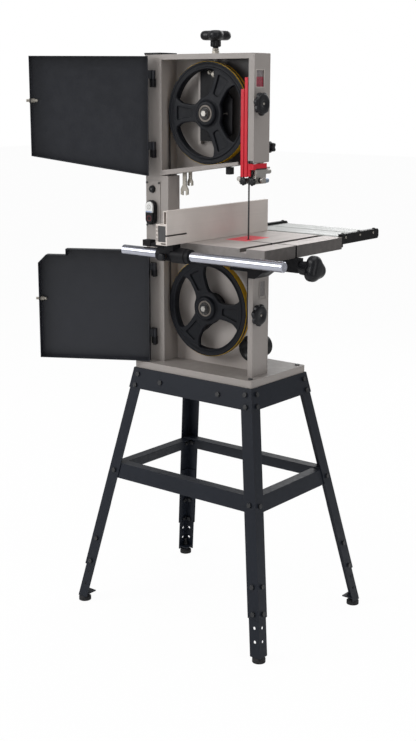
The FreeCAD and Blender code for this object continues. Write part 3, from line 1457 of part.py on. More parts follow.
# ---------------------------------------------------------------- build
PIECES = {
    "base_plate": base_plate(),
    "frame_column": frame_column(),
    "column_cap": column_cap(),
    "upper_wheel_box": upper_wheel_box(),
    "tracking_window": tracking_window(),
    "lower_housing": lower_housing(),
    "right_post": right_post(),
    "dust_port": dust_port(),
    "trunnion_cradle": trunnion_cradle(),
    "hinge_brackets": hinge_brackets(),
    "upper_door": upper_door(),
    "upper_door_stud": door_stud(1369.0, UPPER_OPEN),
    "lower_door": lower_door(),
    "lower_door_stud": door_stud(LOWER_LOCK_Z, LOWER_OPEN),
    "upper_lock_knob": lock_knob(box_right.value, UPPER_LOCK_Z),
    "lower_lock_knob": lock_knob(post_right.value, LOWER_LOCK_Z),
    "switch_plate": switch_plate(),
    "switch_housing": switch_housing(),
    "start_button": switch_button(START_Z, -48.0, 1084.6, START_Z),
    "stop_button": switch_button(STOP_Z, -47.0, STOP_Z, 1083.6),
    "light_button": light_button(),
    "work_light": work_light(),
    "wrenches": wrenches(),
    "upper_wheel": wheel(upper_axle_z.value, UPPER_SPOKES, UPPER_REAR_SEAT, has_pulley=False),
    "upper_tyre": tyre(upper_axle_z),
    "upper_bearings": bearings(upper_axle_z, UPPER_REAR_SEAT),
    "lower_wheel": wheel(lower_axle_z.value, LOWER_SPOKES, LOWER_REAR_SEAT, has_pulley=True),
    "lower_tyre": tyre(lower_axle_z),
    "lower_bearings": bearings(lower_axle_z, LOWER_REAR_SEAT),
    "lower_axle": lower_axle(),
    "upper_axle": upper_axle(),
    "tension_carriage": tension_carriage(),
    "tension_spring": tension_spring(),
    "tension_knob": tension_knob(),
    "tracking_knob": tracking_knob(),
    "motor": motor(),
    "motor_pulley": motor_pulley(),
    "drive_belt": drive_belt(),
    "blade": blade(),
    "guide_post": guide_post(),
    "blade_guard": blade_guard(),
    "guide_bearings": guide_bearings(),
    "guide_knobs": guide_knobs(),
    "guide_lock_knob": guide_lock_knob(),
    "lower_guides": lower_guides(),
    "table": table(),
    "table_insert": table_insert(),
    "table_brackets": table_brackets(),
    "tilt_lock_knob": tilt_lock_knob(),
    "fence_rail": fence_rail(),
    "fence": fence(),
    "fence_carrier": fence_carrier(),
    "fence_lock_knob": fence_lock_knob(),
    "extension_arms": extension_arms(),
    "extension_slats": extension_slats(),
    "stand_legs": stand_legs(),
    "leg_extensions": leg_extensions(),
    "stand_rails": stand_rails(),
    "frame_bolts": frame_bolts(),
    "levelling_feet": levelling_feet(),
}
for name, obj in PIECES.items():
    obj.Label = name

# ---------------------------------------------------------------- bind, check and write
doc.recompute()
for obj, path, formula in BINDINGS:
    obj.setExpression(path, formula)
doc.recompute()
faults = []
for obj in doc.Objects:
    if "Invalid" in obj.State or "Error" in obj.State:
        faults.append("%s %s" % (obj.Name, obj.State))
for name, obj in PIECES.items():
    shape = obj.Shape
    if shape.isNull() or not shape.isValid() or not shape.Solids:
        faults.append("%s: null or invalid shape" % name)
if faults:
    raise RuntimeError("; ".join(faults))
os.makedirs("parts", exist_ok=True)
for old in os.listdir("parts"):
    if old.endswith(".step"):
        os.remove(os.path.join("parts", old))
for name, obj in PIECES.items():
    obj.Shape.exportStep(os.path.join("parts", name + ".step"))
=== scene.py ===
"""+Z is up. The front of the machine faces -Y and the motor stands behind it at +Y. The wheels
turn about Y, and the blade's working run goes down through the table on the +X side, with its
teeth towards -Y. Meshes are laid out in millimetres; materials, lights and camera in metres.
"""

import math

import bmesh
import bpy
import numpy as np
from mathutils import Matrix, Vector
from mathutils.geometry import tessellate_polygon

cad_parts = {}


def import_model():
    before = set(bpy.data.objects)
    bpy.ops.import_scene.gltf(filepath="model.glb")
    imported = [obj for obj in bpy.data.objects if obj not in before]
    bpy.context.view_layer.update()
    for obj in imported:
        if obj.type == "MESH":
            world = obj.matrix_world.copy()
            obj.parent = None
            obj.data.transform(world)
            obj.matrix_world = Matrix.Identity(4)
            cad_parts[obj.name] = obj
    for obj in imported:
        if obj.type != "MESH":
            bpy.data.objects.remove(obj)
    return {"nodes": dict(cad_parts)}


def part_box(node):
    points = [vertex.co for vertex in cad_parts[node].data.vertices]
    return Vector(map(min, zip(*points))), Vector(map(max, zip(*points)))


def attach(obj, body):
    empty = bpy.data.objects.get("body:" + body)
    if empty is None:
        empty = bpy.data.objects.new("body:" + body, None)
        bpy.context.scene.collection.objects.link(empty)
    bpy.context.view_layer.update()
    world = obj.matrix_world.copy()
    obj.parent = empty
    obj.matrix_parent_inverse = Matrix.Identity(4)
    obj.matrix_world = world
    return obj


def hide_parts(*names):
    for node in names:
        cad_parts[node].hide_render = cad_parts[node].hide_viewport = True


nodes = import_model()["nodes"]
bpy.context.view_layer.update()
MM = 0.001


def box_mm(node):
    """The low and high corners of a CAD node, in millimetres."""
    lo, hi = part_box(node)
    return [1000 * v for v in lo], [1000 * v for v in hi]


# ------------------------------------------------------------------ material helpers
EDGE_SOFTENING = 0.0008  # shading radius on paint and plastic edges


class Material:
    """A small builder for node materials. Every colour is linear."""

    def __init__(self, name):
        self.data = bpy.data.materials.new(name)
        self.data.use_nodes = True
        self.tree = self.data.node_tree
        self.tree.nodes.clear()
        output = self.add("ShaderNodeOutputMaterial")
        self.bsdf = self.add("ShaderNodeBsdfPrincipled")
        self.tree.links.new(self.bsdf.outputs[0], output.inputs["Surface"])
        self.coord = self.add("ShaderNodeTexCoord").outputs["Object"]

    def add(self, kind, **settings):
        node = self.tree.nodes.new(kind)
        for key, value in settings.items():
            setattr(node, key, value)
        return node

    def put(self, socket, value):
        """Links a socket, or sets a plain value on it."""
        if isinstance(value, bpy.types.NodeSocket):
            self.tree.links.new(value, socket)
        elif isinstance(value, (tuple, list)) and len(value) == 3 and socket.type == "RGBA":
            socket.default_value = (*value, 1.0)
        else:
            socket.default_value = value

    def scaled(self, x, y, z):
        """Object coordinates scaled per axis; a small factor stretches the grain along it."""
        node = self.add("ShaderNodeMapping")
        self.put(node.inputs["Vector"], self.coord)
        node.inputs["Scale"].default_value = (x, y, z)
        return node.outputs[0]

    def axes(self, vector):
        node = self.add("ShaderNodeSeparateXYZ")
        self.put(node.inputs[0], vector)
        return node.outputs

    def noise(self, scale, detail=3.0, rough=0.55, vector=None):
        node = self.add("ShaderNodeTexNoise")
        self.put(node.inputs["Vector"], self.coord if vector is None else vector)
        node.inputs["Scale"].default_value = scale
        node.inputs["Detail"].default_value = detail
        node.inputs["Roughness"].default_value = rough
        return node.outputs["Fac"]

    def ramp(self, value, start=0.3, end=0.7, low=0.0, high=1.0):
        """Goes smoothly from low to high while the value goes from start to end."""
        node = self.add("ShaderNodeMapRange")
        node.interpolation_type = "SMOOTHSTEP"
        self.put(node.inputs["Value"], value)
        node.inputs["From Min"].default_value = start
        node.inputs["From Max"].default_value = end
        node.inputs["To Min"].default_value = low
        node.inputs["To Max"].default_value = high
        return node.outputs[0]

    def below(self, value, start, end):
        """1 below start, 0 above end."""
        return self.math("SUBTRACT", 1.0, self.ramp(value, start=start, end=end))

    def math(self, operation, a, b):
        node = self.add("ShaderNodeMath", operation=operation)
        self.put(node.inputs[0], a)
        self.put(node.inputs[1], b)
        return node.outputs[0]

    def multiply(self, a, b):
        return self.math("MULTIPLY", a, b)

    def mix(self, factor, a, b):
        node = self.add("ShaderNodeMix", data_type="RGBA")
        self.put(node.inputs[0], factor)
        self.put(node.inputs[6], a)
        self.put(node.inputs[7], b)
        return node.outputs[2]

    def mottle(self, value, color, vary):
        """A colour that drifts darker and lighter by the share vary."""
        return self.mix(self.ramp(value), shade(color, 1 - vary), shade(color, 1 + vary))

    def roughness(self, slow, fine, low, high, grain=0.04):
        """Roughness between low and high following slow, with a fine grain added."""
        slow_part = self.ramp(slow, low=low, high=high)
        return self.math("ADD", slow_part, self.ramp(fine, low=-grain, high=grain))

    def edge(self, radius=0.0012):
        """1 near a sharp outer or inner edge, 0 on flat faces."""
        bevel = self.add("ShaderNodeBevel", samples=4)
        bevel.inputs["Radius"].default_value = radius
        geometry = self.add("ShaderNodeNewGeometry")
        dot = self.add("ShaderNodeVectorMath", operation="DOT_PRODUCT")
        self.tree.links.new(bevel.outputs[0], dot.inputs[0])
        self.tree.links.new(geometry.outputs["True Normal"], dot.inputs[1])
        bend = self.math("SUBTRACT", 1.0, dot.outputs["Value"])
        return self.ramp(bend, start=0.02, end=0.25)

    def bumps(self, layers, soft=0.0):
        """Stacks bump layers of (height, strength, distance); soft rounds edges in shading."""
        normal = None
        if soft:
            bevel = self.add("ShaderNodeBevel", samples=4)
            bevel.inputs["Radius"].default_value = soft
            normal = bevel.outputs[0]
        for height, strength, distance in layers:
            node = self.add("ShaderNodeBump")
            node.inputs["Strength"].default_value = strength
            node.inputs["Distance"].default_value = distance
            self.put(node.inputs["Height"], height)
            if normal is not None:
                self.tree.links.new(normal, node.inputs["Normal"])
            normal = node.outputs[0]
        self.tree.links.new(normal, self.bsdf.inputs["Normal"])

    def surface(self, **values):
        """Sets inputs of the main shader; underscores stand for spaces."""
        for key, value in values.items():
            self.put(self.bsdf.inputs[key.replace("_", " ")], value)


def srgb(*channels):
    """Linear colour from 0-255 sRGB channels."""
    return tuple(c / 255 / 12.92 if c / 255 <= 0.04045 else ((c / 255 + 0.055) / 1.055) ** 2.4
                 for c in channels)


def shade(color, factor):
    return tuple(min(1.0, x * factor) for x in color)


def paint(name, color, rough=0.42, grain=1400.0, bump=0.06, vary=0.06, wear=None, spec=0.5):
    """Painted metal: fine orange peel, slow tone changes, and lighter rubbed edges."""
    m = Material(name)
    big = m.noise(scale=7.0, detail=4.0)
    mid = m.noise(scale=60.0)
    fine = m.noise(scale=grain, detail=2.0, rough=0.6)
    base = m.mottle(big, color, vary)
    specks = m.ramp(fine, start=0.35, end=0.75, high=0.5)
    base = m.mix(specks, base, shade(color, 1 + 2 * vary))
    if wear:
        rubbed = m.multiply(m.edge(), m.ramp(m.noise(scale=180.0), start=0.42, end=0.62))
        base = m.mix(m.multiply(rubbed, 0.55), base, wear)
    rough_map = m.roughness(mid, fine, low=rough - 0.05, high=rough + 0.05, grain=0.03)
    m.surface(Base_Color=base, Roughness=rough_map, Metallic=0.0, Coat_Weight=0.0,
              Coat_Roughness=0.25, Specular_IOR_Level=spec)
    peel = m.noise(scale=260.0, detail=2.0)
    m.bumps([(fine, bump, 0.0004), (peel, bump * 0.6, 0.0006)], soft=EDGE_SOFTENING)
    return m.data


def metal(name, color, rough=0.3, brush=(1, 1, 1), scratches=0.3, vary=0.08, metallic=1.0):
    """Machined, ground or plated metal. brush stretches the grain along an axis."""
    m = Material(name)
    grain = m.scaled(*brush)
    fine = m.noise(scale=700.0, rough=0.6, vector=grain)
    streak = m.noise(scale=120.0, detail=4.0, rough=0.7, vector=grain)
    big = m.noise(scale=14.0)
    base = m.mottle(big, color, vary)
    lines = m.ramp(streak, start=0.45, end=0.7, high=scratches)
    base = m.mix(lines, base, shade(color, 0.78))
    rough_map = m.roughness(streak, fine, low=rough - 0.06, high=rough + 0.08)
    m.surface(Base_Color=base, Roughness=rough_map, Metallic=metallic)
    m.bumps([(fine, 0.12, 0.0002), (streak, 0.08, 0.0003)], soft=0.0004)
    return m.data


def plastic(name, color, rough=0.45, bump=0.12, vary=0.1, spec=0.5):
    """Moulded plastic or rubber: fine texture with lighter edges."""
    m = Material(name)
    fine = m.noise(scale=900.0, detail=2.0, rough=0.5)
    big = m.noise(scale=30.0)
    base = m.mottle(big, color, vary)
    base = m.mix(m.multiply(m.edge(), 0.35), base, shade(color, 2.0))
    rough_map = m.roughness(big, fine, low=rough - 0.07, high=rough + 0.07)
    m.surface(Base_Color=base, Roughness=rough_map, Specular_IOR_Level=spec)
    m.bumps([(fine, bump, 0.0004)], soft=EDGE_SOFTENING)
    return m.data


# ------------------------------------------------------------------ materials of one kind
GREY = srgb(143, 137, 133)


def dark_lining():
    """Dark satin paint of the doors."""
    color = srgb(28, 30, 36)
    m = Material("dark_lining")
    big = m.noise(scale=5.0, detail=4.0)
    mid = m.noise(scale=46.0, detail=4.0)
    fine = m.noise(scale=1500.0, detail=2.0)
    base = m.mix(m.ramp(big), shade(color, 0.86), shade(color, 1.16))
    blotches = m.ramp(mid, start=0.52, end=0.8, high=0.18)
    base = m.mix(blotches, base, shade(color, 1.6))
    base = m.mix(m.multiply(m.edge(radius=0.0016), 0.4), base, shade(color, 2.6))
    m.surface(Base_Color=base, Roughness=m.ramp(mid, low=0.38, high=0.5),
              Specular_IOR_Level=0.45)
    m.bumps([(fine, 0.08, 0.0004)], soft=EDGE_SOFTENING)
    return m.data


def blade_steel():
    """Dark blued band."""
    m = Material("blade_steel")
    streak = m.noise(scale=500.0, rough=0.6, vector=m.scaled(1, 1, 0.05))
    m.surface(Base_Color=m.mix(m.ramp(streak), srgb(52, 52, 56), srgb(96, 94, 94)),
              Metallic=0.8, Roughness=m.ramp(streak, low=0.28, high=0.42))
    m.bumps([(streak, 0.1, 0.0002)])
    return m.data


def table_iron():
    """Cast iron, streaked on top along Y; the other faces are duller and darker, partly as cast
    iron and partly as painted shade, the +X faces darkest as painted shade.
    """
    m = Material("table_iron")
    normal = m.axes(m.add("ShaderNodeNewGeometry").outputs["True Normal"])
    top = m.ramp(normal["Z"], start=0.4, end=0.9)
    # painted shade: 1 on faces towards +X, which take the darkest side colour
    side = m.ramp(normal["X"], start=0.3, end=0.9)
    grain = m.scaled(1.0, 0.04, 1.0)
    streak = m.noise(scale=160.0, detail=4.0, rough=0.7, vector=grain)
    fine = m.noise(scale=900.0, rough=0.6, vector=grain)
    big = m.noise(scale=9.0, detail=4.0)
    blots = m.noise(scale=30.0, detail=5.0, rough=0.65)
    iron = m.mix(m.ramp(big), srgb(158, 150, 146), srgb(176, 168, 164))
    iron = m.mix(m.ramp(streak, start=0.45, end=0.72, high=0.3), iron, srgb(138, 131, 127))
    iron = m.mix(m.ramp(blots, start=0.52, end=0.8, high=0.35), iron, srgb(148, 138, 132))
    # painted shade in the side colour: darker than the top, darkest on the +X faces
    rim = m.mix(side, srgb(132, 127, 124), srgb(74, 70, 68))
    rim_blots = m.noise(scale=70.0, detail=4.0)
    rim = m.mix(m.ramp(rim_blots, start=0.4, end=0.75, high=0.3), rim, srgb(104, 98, 95))
    rubbed = m.multiply(m.edge(), 0.5)
    color = m.mix(rubbed, m.mix(top, rim, iron), srgb(196, 190, 186))
    m.surface(Base_Color=color, Metallic=m.multiply(top, 0.35),
              Roughness=m.roughness(streak, fine, low=0.40, high=0.52))
    m.bumps([(fine, 0.14, 0.0002), (streak, 0.1, 0.0003)], soft=0.0006)
    return m.data


def rail_steel():
    """Ground round bar with faint lengthwise lines."""
    m = Material("ground_rail_steel")
    streak = m.noise(scale=200.0, rough=0.6, vector=m.scaled(0.02, 1.0, 1.0))
    big = m.noise(scale=10.0)
    base = m.mix(m.ramp(big), srgb(166, 168, 178), srgb(178, 180, 190))
    m.surface(Base_Color=base, Metallic=1.0, Roughness=m.ramp(streak, low=0.22, high=0.27))
    return m.data


def box_paint():
    """Body paint for the upper wheel box, with a dark region inside it on the blade side."""
    m = Material("box_paint")
    place = m.axes(m.coord)
    dark = m.multiply(m.ramp(place["X"], start=0.022, end=0.034),
                      m.ramp(place["Y"], start=-0.026, end=-0.018))
    # upper limits of the dark region: axis, start and end of the fade
    for axis, start, end in (("X", 0.1555, 0.1575), ("Y", 0.0325, 0.0338), ("Z", 1.4795, 1.4815)):
        dark = m.multiply(dark, m.below(place[axis], start=start, end=end))
    big = m.noise(scale=7.0, detail=4.0)
    mid = m.noise(scale=60.0)
    fine = m.noise(scale=1400.0, detail=2.0, rough=0.6)
    base = m.mottle(big, GREY, vary=0.03)
    base = m.mix(m.multiply(dark, 0.86), base, srgb(44, 42, 44))
    patches_of_wear = (0.42, 0.62, 0.0, 0.5)  # ramp start and end, then its low and high
    rubbed = m.multiply(m.edge(), m.ramp(m.noise(scale=180.0), *patches_of_wear))
    m.surface(Base_Color=m.mix(rubbed, base, srgb(196, 192, 188)),
              Roughness=m.ramp(mid, low=0.4, high=0.5), Specular_IOR_Level=0.45)
    peel = m.noise(scale=260.0, detail=2.0)
    m.bumps([(fine, 0.06, 0.0004), (peel, 0.04, 0.0006)], soft=EDGE_SOFTENING)
    return m.data


def window_plate():
    """Glossy tracking window plate, grey in its upper part and red below."""
    m = Material("tracking_window_plate")
    low = m.below(m.axes(m.coord)["Z"], start=1.4277, end=1.4293)
    specks = m.noise(scale=260.0, detail=2.0)
    upper = m.mix(m.ramp(specks), srgb(104, 97, 98), srgb(128, 120, 120))
    lower = m.mix(m.ramp(specks, start=0.35, end=0.65), srgb(104, 26, 44), srgb(156, 48, 66))
    m.surface(Base_Color=m.mix(low, upper, lower), Roughness=m.ramp(specks, low=0.16, high=0.26),
              Coat_Weight=0.6, Coat_Roughness=0.1)
    m.bumps([(specks, 0.05, 0.0002)])
    return m.data


FINISH = {
    "body": paint("body_paint", GREY, rough=0.44, wear=srgb(205, 202, 198), vary=0.03),
    # painted light: the body paint half again as bright, for forward-facing rear faces of the
    # lower housing
    "body_painted_light": paint("body_paint_painted_light", shade(GREY, 1.5), rough=0.46,
                        wear=srgb(205, 202, 198), vary=0.04),
    "box_paint": box_paint(),
    "lining": dark_lining(),
    "stand": paint("stand_paint", srgb(23, 27, 35), rough=0.42, grain=1900.0, bump=0.09,
                   vary=0.1, wear=srgb(62, 65, 72), spec=0.2),
    "motor": paint("motor_paint", srgb(22, 23, 27), rough=0.46, vary=0.12, spec=0.35,
                   wear=srgb(60, 61, 64)),
    "cast": paint("cast_black_paint", srgb(14, 14, 17), rough=0.5, grain=500.0, bump=0.22,
                  vary=0.14, wear=srgb(50, 51, 54), spec=0.16),
    "wheel": paint("wheel_paint", srgb(15, 17, 22), rough=0.44, grain=650.0, bump=0.14,
                   vary=0.1, wear=srgb(74, 77, 86), spec=0.16),
    "hinge": paint("hinge_black", srgb(14, 15, 18), rough=0.4, wear=srgb(66, 66, 70),
                   vary=0.12, spec=0.22),
    "black_bolt": paint("black_oxide", srgb(26, 27, 30), rough=0.36, grain=2400.0, vary=0.15,
                        wear=srgb(70, 70, 74)),
    "red": paint("guard_red", srgb(186, 14, 36), rough=0.36, grain=1600.0, bump=0.05,
                 vary=0.05, wear=srgb(214, 84, 98), spec=0.3),
    "arm": paint("arm_black", srgb(8, 9, 12), rough=0.42, wear=srgb(44, 44, 48), vary=0.14,
                 spec=0.14),
    # painted shade: dark speckled grey that fills the fence extrusion's open end
    "speckled": paint("speckled_painted_shade", srgb(66, 65, 66), rough=0.55, grain=420.0, bump=0.3,
                      vary=0.3, spec=0.3),
    "fence": metal("fence_extrusion", srgb(206, 198, 192), rough=0.42, brush=(0.6, 0.02, 1.0),
                   scratches=0.13, vary=0.035, metallic=0.2),
    "slat": metal("slat_aluminium", srgb(158, 160, 158), rough=0.42, brush=(0.03, 1.0, 1.0),
                  scratches=0.12, vary=0.03, metallic=0.35),
    "steel": metal("bright_steel", srgb(166, 163, 158), rough=0.36, scratches=0.2,
                   metallic=0.8),
    "zinc": metal("zinc_plate", srgb(158, 153, 144), rough=0.42, scratches=0.2, vary=0.1,
                  metallic=0.6),
    "blue_zinc": metal("blue_zinc", srgb(150, 160, 176), rough=0.3, scratches=0.2, vary=0.1),
    "brass": metal("brass_tip", srgb(176, 138, 70), rough=0.35, scratches=0.2),
    "race": metal("bearing_race", srgb(104, 98, 92), rough=0.44, scratches=0.3, vary=0.1,
                  metallic=0.6),
    "blade": blade_steel(),
    "table": table_iron(),
    "rail": rail_steel(),
    "plastic": plastic("black_plastic", srgb(15, 16, 19), rough=0.42, spec=0.22),
    "knob": plastic("knob_plastic", srgb(15, 16, 20), rough=0.36, bump=0.035, spec=0.28),
    "rubber": plastic("foot_rubber", srgb(34, 34, 36), rough=0.7, bump=0.25, spec=0.3),
    "tyre": plastic("urethane_tyre", srgb(228, 176, 20), rough=0.48, bump=0.08, vary=0.06),
    "red_plastic": plastic("insert_red", srgb(214, 44, 62), rough=0.4, vary=0.05),
    "white_plastic": plastic("button_white", srgb(222, 222, 220), rough=0.3, bump=0.04,
                             vary=0.02),
    "window": window_plate(),
    "frame_pale": plastic("window_frame_pale", srgb(176, 168, 162), rough=0.4, bump=0.05,
                          vary=0.04),
    # black of the bearing seals; also painted shade on the table's blade slit, the axle washers
    # and the screw sockets
    "seal": plastic("black_seal_and_painted_shade", srgb(16, 16, 18), rough=0.5),
    "smoke": plastic("smoked_window", srgb(104, 100, 99), rough=0.28, bump=0.04, vary=0.05),
    # painted shade: the bluish white of the start button's shaded lower edge
    "painted_shade_blue": plastic("shaded_blue_white", srgb(150, 166, 196), rough=0.4, vary=0.06),
    "dull_red": plastic("symbol_red", srgb(120, 26, 34), rough=0.5, vary=0.08),
    "ink_grey": plastic("symbol_grey", srgb(150, 148, 146), rough=0.5),
}

# ------------------------------------------------------------------ finishes of the CAD nodes
NODES_BY_FINISH = {
    "body": "base_plate frame_column lower_housing right_post switch_plate",
    "box_paint": "upper_wheel_box",
    "lining": "upper_door lower_door",
    "stand": "stand_legs leg_extensions stand_rails",
    "motor": "motor",
    "cast": "trunnion_cradle tension_carriage table_brackets fence_carrier",
    "wheel": "lower_wheel upper_wheel",
    "hinge": "hinge_brackets",
    "black_bolt": "frame_bolts",
    "red": "blade_guard",
    "arm": "extension_arms",
    "fence": "fence",
    "slat": "extension_slats",
    "steel": "lower_axle motor_pulley lower_bearings tension_spring upper_axle upper_bearings "
             "guide_post guide_bearings",
    "zinc": "wrenches lower_guides upper_door_stud lower_door_stud",
    "blade": "blade",
    "table": "table",
    "rail": "fence_rail",
    "plastic": "column_cap switch_housing work_light dust_port stop_button light_button",
    "knob": "upper_lock_knob lower_lock_knob tension_knob tracking_knob guide_knobs "
            "guide_lock_knob tilt_lock_knob fence_lock_knob",
    "rubber": "drive_belt levelling_feet",
    "tyre": "lower_tyre upper_tyre",
    "red_plastic": "table_insert",
    "white_plastic": "start_button",
    "window": "tracking_window",
}
for finish, node_names in NODES_BY_FINISH.items():
    for node_name in node_names.split():
        materials = nodes[node_name].data.materials
        materials.clear()
        materials.append(FINISH[finish])


def split_paint(node, extra_finishes, pick):
    """Adds finishes to a node; pick gives the slot from a face's centre (mm) and normal."""
    mesh = nodes[node].data
    for key in extra_finishes:
        mesh.materials.append(FINISH[key])
    for face in mesh.polygons:
        face.material_index = pick(face.center * 1000, face.normal)


def in_axle_washer_shade(y):
    """The narrow band near the front end of each axle, in front of the hub; it takes the black
    seal finish as painted shade.
    """
    return -21.6 < y < -19.4


def upper_axle_slot(centre, normal):
    if centre.y > 12.3:
        return 1
    near_axis = abs(centre.x) < 12.6 and abs(centre.z - 1339.5) < 12.6
    return 2 if in_axle_washer_shade(centre.y) and near_axis else 0


def lower_axle_slot(centre, normal):
    if centre.y > 20:
        return 1
    return 2 if in_axle_washer_shade(centre.y) else 0


def table_slit_shade_slot(centre, normal):
    """Upright faces in a narrow band across the +X part of the table, along the blade slit; they
    take the black seal finish as painted shade of the slit.
    """
    return int(centre.x > 60 and -28.4 < centre.y < -21.1 and abs(normal.z) < 0.5)


def guide_post_slot(centre, normal):
    """Faces of the post's rear part close to the line x = 150, z = 1178."""
    return int(centre.y > 28 and abs(centre.x - 150) < 7 and abs(centre.z - 1178) < 7)


def lower_housing_slot(centre, normal):
    """Faces of the rear part that look forward; they take a lighter copy of the body paint as
    painted light.
    """
    return int(normal.y < -0.9 and centre.y > 15)


split_paint("upper_axle", ["cast", "seal"], upper_axle_slot)
split_paint("lower_axle", ["cast", "seal"], lower_axle_slot)
split_paint("table", ["seal"], table_slit_shade_slot)
split_paint("guide_post", ["blue_zinc"], guide_post_slot)
split_paint("lower_housing", ["body_painted_light"], lower_housing_slot)


# ------------------------------------------------------------------ outlines
def resample(outline, step):
    """Even points along a closed outline."""
    points = np.array(outline, float)
    loop = np.vstack([points, points[:1]])
    lengths = np.hypot(*np.diff(loop, axis=0).T)
    along = np.concatenate([[0], np.cumsum(lengths)])
    count = max(12, int(round(along[-1] / step)))
    t = np.linspace(0, along[-1], count, endpoint=False)
    return np.stack([np.interp(t, along, loop[:, 0]), np.interp(t, along, loop[:, 1])], 1)


def soften(outline, sigma, step=None):
    """Rounds the corners of a closed outline by sliding a bell-shaped average along it."""
    step = step or sigma / 2.5
    points = resample(outline, step)
    reach = int(math.ceil(3 * sigma / step))
    shifts = np.arange(-reach, reach + 1)
    weights = np.exp(-0.5 * (shifts * step / sigma) ** 2)
    weights /= weights.sum()
    result = np.zeros_like(points)
    for shift, weight in zip(range(-reach, reach + 1), weights):
        result += weight * np.roll(points, shift, axis=0)
    return result


def signed_area(points):
    x, y = points[:, 0], points[:, 1]
    return 0.5 * float(np.sum(x * np.roll(y, -1) - np.roll(x, -1) * y))


def polar(radius, angle):
    return (radius * math.cos(angle), radius * math.sin(angle))


def arc(radius, start, end, count, v=0.0):
    """Points on an arc about (0, v); angles in radians."""
    return [(radius * math.cos(a), v + radius * math.sin(a))
            for a in np.linspace(start, end, count)]


def circle(radius, count):
    a = np.linspace(0, 2 * math.pi, count, endpoint=False)
    return np.stack([radius * np.cos(a), radius * np.sin(a)], 1)


def rounded(u0, u1, v0, v1, radius, steps=5):
    """A rectangle with round corners."""
    points = []
    corners = ((u1 - radius, v1 - radius), (u0 + radius, v1 - radius),
               (u0 + radius, v0 + radius), (u1 - radius, v0 + radius))
    for quarter, (u, v) in enumerate(corners):
        for i in range(steps + 1):
            a = math.radians(90 * quarter + 90 * i / steps)
            points.append((u + radius * math.cos(a), v + radius * math.sin(a)))
    return np.array(points)


def lobes(radius, count, depth, power=1.0, turn=0.0):
    """A hand-knob outline: count rounded fingers of the given depth, turned in degrees."""
    total = count * 24
    points = []
    for i in range(total):
        a = 2 * math.pi * i / total
        rise = (0.5 + 0.5 * math.cos(count * (a - math.radians(turn)))) ** power
        points.append(polar(radius - depth + depth * rise, a))
    return np.array(points)


def hexagon(across, turn=0.0):
    """A hexagon by its width across flats, turned in radians."""
    return np.array([polar(across / math.sqrt(3), turn + math.radians(60 * i))
                     for i in range(6)])


def fillets(profile, radius, steps, closed):
    """Rounds the corners of a profile with short curves."""
    profile = [np.array(p, float) for p in profile]
    result = []
    count = len(profile)
    for i, corner in enumerate(profile):
        if not closed and i in (0, count - 1):
            result.append(corner)
            continue
        before, after = profile[i - 1] - corner, profile[(i + 1) % count] - corner
        len_before, len_after = np.linalg.norm(before), np.linalg.norm(after)
        cut = min(radius, 0.45 * len_before, 0.45 * len_after)
        start, end = corner + before / len_before * cut, corner + after / len_after * cut
        for j in range(steps + 1):
            t = j / steps
            result.append((1 - t) ** 2 * start + 2 * t * (1 - t) * corner + t * t * end)
    return np.array(result)


# ------------------------------------------------------------------ mesh builder
# For each facing, the directions of u, v (across) and w (outward).
FACINGS = {
    "x": ((0, 1, 0), (0, 0, 1), (1, 0, 0)),
    "-x": ((0, -1, 0), (0, 0, 1), (-1, 0, 0)),
    "y": ((-1, 0, 0), (0, 0, 1), (0, 1, 0)),
    "-y": ((1, 0, 0), (0, 0, 1), (0, -1, 0)),
    "z": ((1, 0, 0), (0, 1, 0), (0, 0, 1)),
}


